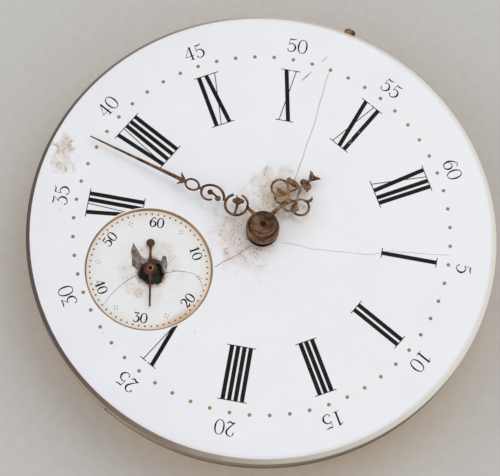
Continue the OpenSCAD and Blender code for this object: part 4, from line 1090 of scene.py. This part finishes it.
def make_minute_hand():
    pieces = [
        collar(0.82, 1.05, 0.2),
        scroll([(0.95, -0.42, 0.44), (1.45, -0.62, 0.38), (1.95, -0.76, 0.3), (2.25, -0.95, 0.26)]),
        scroll(ring_points(3.15, -0.57, 1.04, -46, 318, 0.27, 0.2)),
        scroll([(3.2, -0.93, 0.3), (2.98, -0.3, 0.24), (2.82, 0.4, 0.22)]),
        disc(3.2, -0.93, 0.38, 0.26),
        disc(3.5, -0.84, 0.22, 0.24),
        disc(2.86, -1.1, 0.22, 0.24),
        scroll([(3.3, -1.0, 0.3), (3.45, -1.2, 0.16), (3.58, -1.42, 0.06)]),
        scroll(ring_points(5.6, 0.1, 1.33, -160, 142, 0.24, 0.24)),
        scroll(ring_points(5.95, -0.42, 0.75, -10, 150, 0.24, 0.2)),
        disc(5.88, -0.47, 0.27, 0.26),
        disc(4.95, -0.26, 0.27, 0.26),
        scroll([(5.88, -0.47, 0.24), (5.4, -0.44, 0.2), (4.95, -0.26, 0.26)]),
        scroll(ring_points(7.72, -0.31, 0.66, 0, 360, 0.2, 0.2, 0.76), True),
        scroll([(6.62, -0.4, 0.24), (6.9, -0.36, 0.3), (7.12, -0.33, 0.22)]),
        scroll([(8.28, -0.29, 0.28), (8.6, -0.27, 0.46), (8.9, -0.25, 0.4)]),
        scroll([(8.6, -0.1, 0.26), (8.85, 0.08, 0.22), (8.98, 0.36, 0.08)]),
        scroll([(8.65, -0.42, 0.26), (8.95, -0.62, 0.22), (9.18, -0.9, 0.08)]),
        scroll([(8.7, -0.26, 0.38), (12.0, -0.13, 0.3), (15.6, 0.01, 0.22), (18.47, 0.12, 0.14)]),
    ]
    hand = joined("minute_scroll_hand", pieces)
    hand.matrix_world = (
        Matrix.Translation((0, 0, MINUTE_BLADE_Z * MM))
        @ Matrix.Rotation(math.radians(90 - MINUTE_HAND_AT), 4, "Z")
        @ Matrix.Rotation(math.radians(MINUTE_DROOP), 4, "Y")
    )
    settle(hand)
    smooth(hand, 50)
    give(hand, HAND_BRONZE, "minute_hand_work", ("minute_hand",))


def make_hour_hand():
    pieces = [
        collar(0.95, 1.45, 0.2),
        scroll([(1.2, 0.3, 0.5), (1.9, 0.3, 0.4), (2.84, 0.22, 0.32)]),
        scroll(ring_points(3.41, 0.78, 0.58, 0, 360, 0.22, 0.22), True),
        scroll(ring_points(4.03, 1.52, 0.79, -35, 300, 0.24, 0.2)),
        disc(3.74, 1.39, 0.25, 0.26),
        scroll(ring_points(3.33, -0.25, 0.56, 0, 360, 0.22, 0.22), True),
        scroll(ring_points(3.93, -1.16, 0.78, -250, 310, 0.24, 0.2)),
        disc(3.54, -0.98, 0.25, 0.26),
        scroll(
            [(4.6, -0.85, 0.2), (4.72, -1.1, 0.26), (4.9, -1.32, 0.32)]
            + [(5.22, -1.36, 0.26), (5.44, -1.22, 0.08)]
        ),
        scroll([(3.5, 1.15, 0.22), (4.4, 0.6, 0.2), (5.0, 0.32, 0.2), (5.62, 0.12, 0.26)]),
        scroll([(4.6, 1.05, 0.22), (3.9, 0.3, 0.2), (3.0, 0.1, 0.24)]),
        scroll([(3.54, -0.98, 0.24), (4.4, -0.32, 0.2), (5.3, 0.06, 0.24)]),
        scroll([(3.0, 0.12, 0.22), (3.7, -0.18, 0.2), (4.4, -0.52, 0.22)]),
        scroll([(5.3, 0.2, 0.2), (5.24, 0.66, 0.6), (5.2, 1.1, 0.64), (5.16, 1.55, 0.16)]),
        scroll([(4.6, 1.02, 0.2), (4.95, 1.42, 0.24), (5.18, 1.57, 0.24), (5.45, 1.45, 0.12)]),
        disc(5.93, 0.3, 0.33, 0.26),
        disc(5.86, -0.24, 0.38, 0.28),
        scroll([(5.8, -0.25, 0.4), (5.56, -0.48, 0.26), (5.4, -0.57, 0.08)]),
        scroll(
            [(5.6, 0.08, 0.42), (6.1, 0.05, 0.36), (6.34, 0.02, 0.26), (6.75, 0.0, 0.48), (7.1, -0.02, 0.3)]
        ),
        scroll([(6.6, 0.04, 0.3), (6.9, 0.2, 0.42), (7.1, 0.38, 0.3), (7.2, 0.62, 0.07)]),
        scroll([(6.6, -0.04, 0.3), (6.92, -0.22, 0.42), (7.12, -0.4, 0.3), (7.24, -0.66, 0.07)]),
    ]
    hand = joined("hour_scroll_hand", pieces)
    turn = Matrix.Rotation(math.radians(90 - HOUR_HAND_AT), 4, "Z")
    hand.matrix_world = Matrix.Translation((0, 0, HOUR_BLADE_Z * MM)) @ turn
    settle(hand)
    smooth(hand, 50)
    give(hand, HOUR_BRONZE, "hour_work", ("hour_hand",))


def boss_size(node):
    """A boss's lowest and highest place and its radius, in millimetres."""
    low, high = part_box(node)
    return low.z / MM, high.z / MM, high.x / MM


def make_bosses():
    z0, z1, r = boss_size("hour_hand_boss")
    boss = turned(
        "hour_boss_turned",
        [
            (0.72, z0),
            (r - 0.1, z0),
            (r - 0.02, z0 + 0.06),
            (r, z0 + 0.14),
            (r, z1 - 0.16),
            (r - 0.04, z1 - 0.06),
            (r - 0.14, z1),
            (0.72, z1),
            (0.72, z0),
        ],
    )
    smooth(boss, 50)
    give(boss, HOUR_BRONZE, "hour_work", ("hour_hand_boss",))
    z0, z1, r = boss_size("minute_hand_boss")
    boss = turned(
        "minute_boss_turned",
        [
            (0.5, z0),
            (r + 0.32, z0),
            (r + 0.38, z0 + 0.07),
            (r + 0.37, z0 + 0.22),
            (r + 0.3, z0 + 0.32),
            (r + 0.12, z0 + 0.4),
            (r + 0.06, z0 + 0.5),
            (r + 0.06, z1 - 0.16),
            (r + 0.02, z1 - 0.06),
            (r - 0.06, z1 - 0.01),
            (r - 0.16, z1),
            (r - 0.32, z1 - 0.02),
            (0.42, z1 - 0.03),
            (0.32, z1 - 0.06),
            (0.25, z1 - 0.14),
            (0.22, z1 - 0.28),
            (0.0, z1 - 0.3),
        ],
    )
    smooth(boss, 50)
    give(boss, BOSS_BRONZE, "minute_hand_work", ("minute_hand_boss",))
    # Its sides, but for the step above its foot, take the paler bronze: a painted highlight against its darker
    # top
    boss.data.materials.append(HOUR_BRONZE)
    for face in boss.data.polygons:
        height = face.center.z / MM
        if height < z0 + 0.33 or z0 + 0.47 < height < z1 - 0.07:
            face.material_index = 1
    # A black disc in the bore: dried oil and painted shade in the hollow
    plug = [(0.23, z1 - 0.2), (0.21, z1 - 0.17), (0.1, z1 - 0.16), (0.0, z1 - 0.16)]
    bore = turned("minute_boss_bore", plug, 32)
    smooth(bore, 50)
    give(bore, BLACK_OIL_AND_SHADE, "minute_hand_work")


def make_seconds_hand():
    pieces = [
        disc(0, 0, 0.64, 0.62),
        drawn([(0.2, 0, 0.34), (1.2, 0, 0.22), (2.4, 0, 0.2), (3.62, 0, 0.17)], 0.6, False, 3, 8),
        drawn([(-0.2, 0, 0.5), (-0.9, 0, 0.28), (-1.6, 0, 0.2), (-2.2, 0, 0.34)], 0.5, False, 3, 8),
        disc(-2.5, 0, 0.4, 0.2),
    ]
    hand = joined("seconds_pointer", pieces)
    place = (SECONDS_AT[0] * MM, SECONDS_AT[1] * MM, SECONDS_BLADE_Z * MM)
    turn = Matrix.Rotation(math.radians(90 - SECONDS_HAND_AT), 4, "Z")
    hand.matrix_world = Matrix.Translation(place) @ turn
    settle(hand)
    smooth(hand, 50)
    give(hand, RUST, "fourth_arbor", ("seconds_hand",))
    z = SECONDS_BLADE_Z + EYELET_LIFT
    outside = [(0.17, z), (0.33, z), (0.34, z + 0.06), (0.31, z + 0.1)]
    inside = [(0.24, z + 0.11), (0.19, z + 0.07), (0.17, z)]
    eyelet = turned("seconds_eyelet", outside + inside, 48, SECONDS_AT)
    smooth(eyelet, 50)
    give(eyelet, BRASS, "fourth_arbor")
    # The pivot's end in black: dried oil and painted shade in the eyelet's hole
    tip = [(0.18, z), (0.18, z + 0.07), (0.12, z + 0.08), (0.0, z + 0.08)]
    pivot = turned("seconds_pivot_end", tip, 32, SECONDS_AT)
    give(pivot, BLACK_OIL_AND_SHADE, "fourth_arbor")


make_minute_hand()
make_hour_hand()
make_bosses()
make_seconds_hand()


# Polished settings round the jewels of the bars, each placed by its own jewel


def make_jewel_settings():
    merged_copy("jewels", "jewel_copy")
    bpy.ops.mesh.separate(type="LOOSE")
    leave_edit()
    rings = []
    for jewel in list(bpy.context.selected_objects):
        corners = [vertex.co / MM for vertex in jewel.data.vertices]
        low_x, high_x = min(c.x for c in corners), max(c.x for c in corners)
        low_y, high_y = min(c.y for c in corners), max(c.y for c in corners)
        low_z = min(c.z for c in corners)
        if low_z < SETTING_BELOW:
            r = (high_x - low_x) / 2
            inside = [(r + 0.02, 0.06), (r + 0.02, 0.02), (r + 0.08, -0.01)]
            outside = [(r + 0.24, -0.01), (r + 0.28, 0.06)]
            middle = ((low_x + high_x) / 2, (low_y + high_y) / 2)
            rings.append(turned("setting", inside + outside + inside[:1], 64, middle))
        bpy.data.objects.remove(jewel)
    settings = joined("jewel_settings", rings)
    smooth(settings, 30)
    give(settings, SETTING_GOLD)


make_jewel_settings()


# Finishes of the CAD pieces

FINISHES = {
    "gilt_brass": GILT,
    "brass": WHEEL_BRASS,
    "steel": STEEL,
    "blued_steel": BLUED,
    "ruby": RUBY,
    "enamel": ENAMEL,
    "copper": COPPER,
    "aged_bronze": HAND_BRONZE,
}
# Pieces whose finish is their own
OWN_FINISHES = {
    "main_plate": PLATE_BRASS,
    "case_pin": PIN_BRASS,
    # The hour wheel's dark bronze is painted shade in the gap under the hour boss
    "hour_wheel": BOSS_BRONZE,
    "barrel_arbor": SQUARE_STEEL,
    "set_arbor": SQUARE_STEEL,
}
for part in frame["record"]["subparts"]:
    finish = OWN_FINISHES.get(part["node"], FINISHES[part["material_slot"]])
    slots = frame["nodes"][part["node"]].data.materials
    slots.clear()
    slots.append(finish)


# Rounded-over edges of the brass and steel work, by their width in millimetres

EASED = [
    (0.06, ["main_plate"]),
    (0.08, ["barrel_bridge", "centre_bar", "third_bar", "fourth_bar", "escape_bar"]),
    (0.07, ["pallet_cock"]),
    (0.08, ["balance_cock"]),
    (0.05, ["bar_screws", "case_screws", "click_screw", "click_spring_screw"]),
    (0.03, ["ratchet_wheel"]),
    (0.04, ["click", "regulator", "barrel"]),
    (0.14, ["case_pin"]),
]
BODY_OF = {node: body for body, nodes in frame["record"]["behaviour"]["bodies"].items() for node in nodes}


def ease_edges(name, width):
    """A copy of a CAD piece with its sharp edges rounded over, which stands for it."""
    eased = merged_copy(name, name + "_eased")
    bpy.ops.mesh.dissolve_limited(angle_limit=math.radians(0.5))
    leave_edit()
    ease = eased.modifiers.new("ease", "BEVEL")
    ease.width = width * MM
    ease.segments = 2
    ease.limit_method = "ANGLE"
    ease.angle_limit = math.radians(35)
    bpy.ops.object.modifier_apply(modifier=ease.name)
    smooth(eased, 35)
    flat = eased.modifiers.new("flat", "WEIGHTED_NORMAL")
    flat.keep_sharp = True
    bpy.ops.object.modifier_apply(modifier=flat.name)
    give(eased, frame["nodes"][name].data.materials[0], BODY_OF[name], (name,))


for width, names in EASED:
    for name in names:
        ease_edges(name, width)


# Springs: the hairspring stays pinned in its stud, and the click spring's arm is a blued copy


def make_springs():
    hairspring = merged_copy("hairspring", "hairspring_coil")
    leave_edit()
    smooth(hairspring, 40)
    give(hairspring, BLUED, "frame", ("hairspring",))
    arm = merged_copy("click_spring", "click_spring_arm")
    leave_edit()
    smooth(arm, 40)
    arm.data.materials.clear()
    arm.data.materials.append(BLUED)
    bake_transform(arm)
    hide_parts("click_spring")


make_springs()
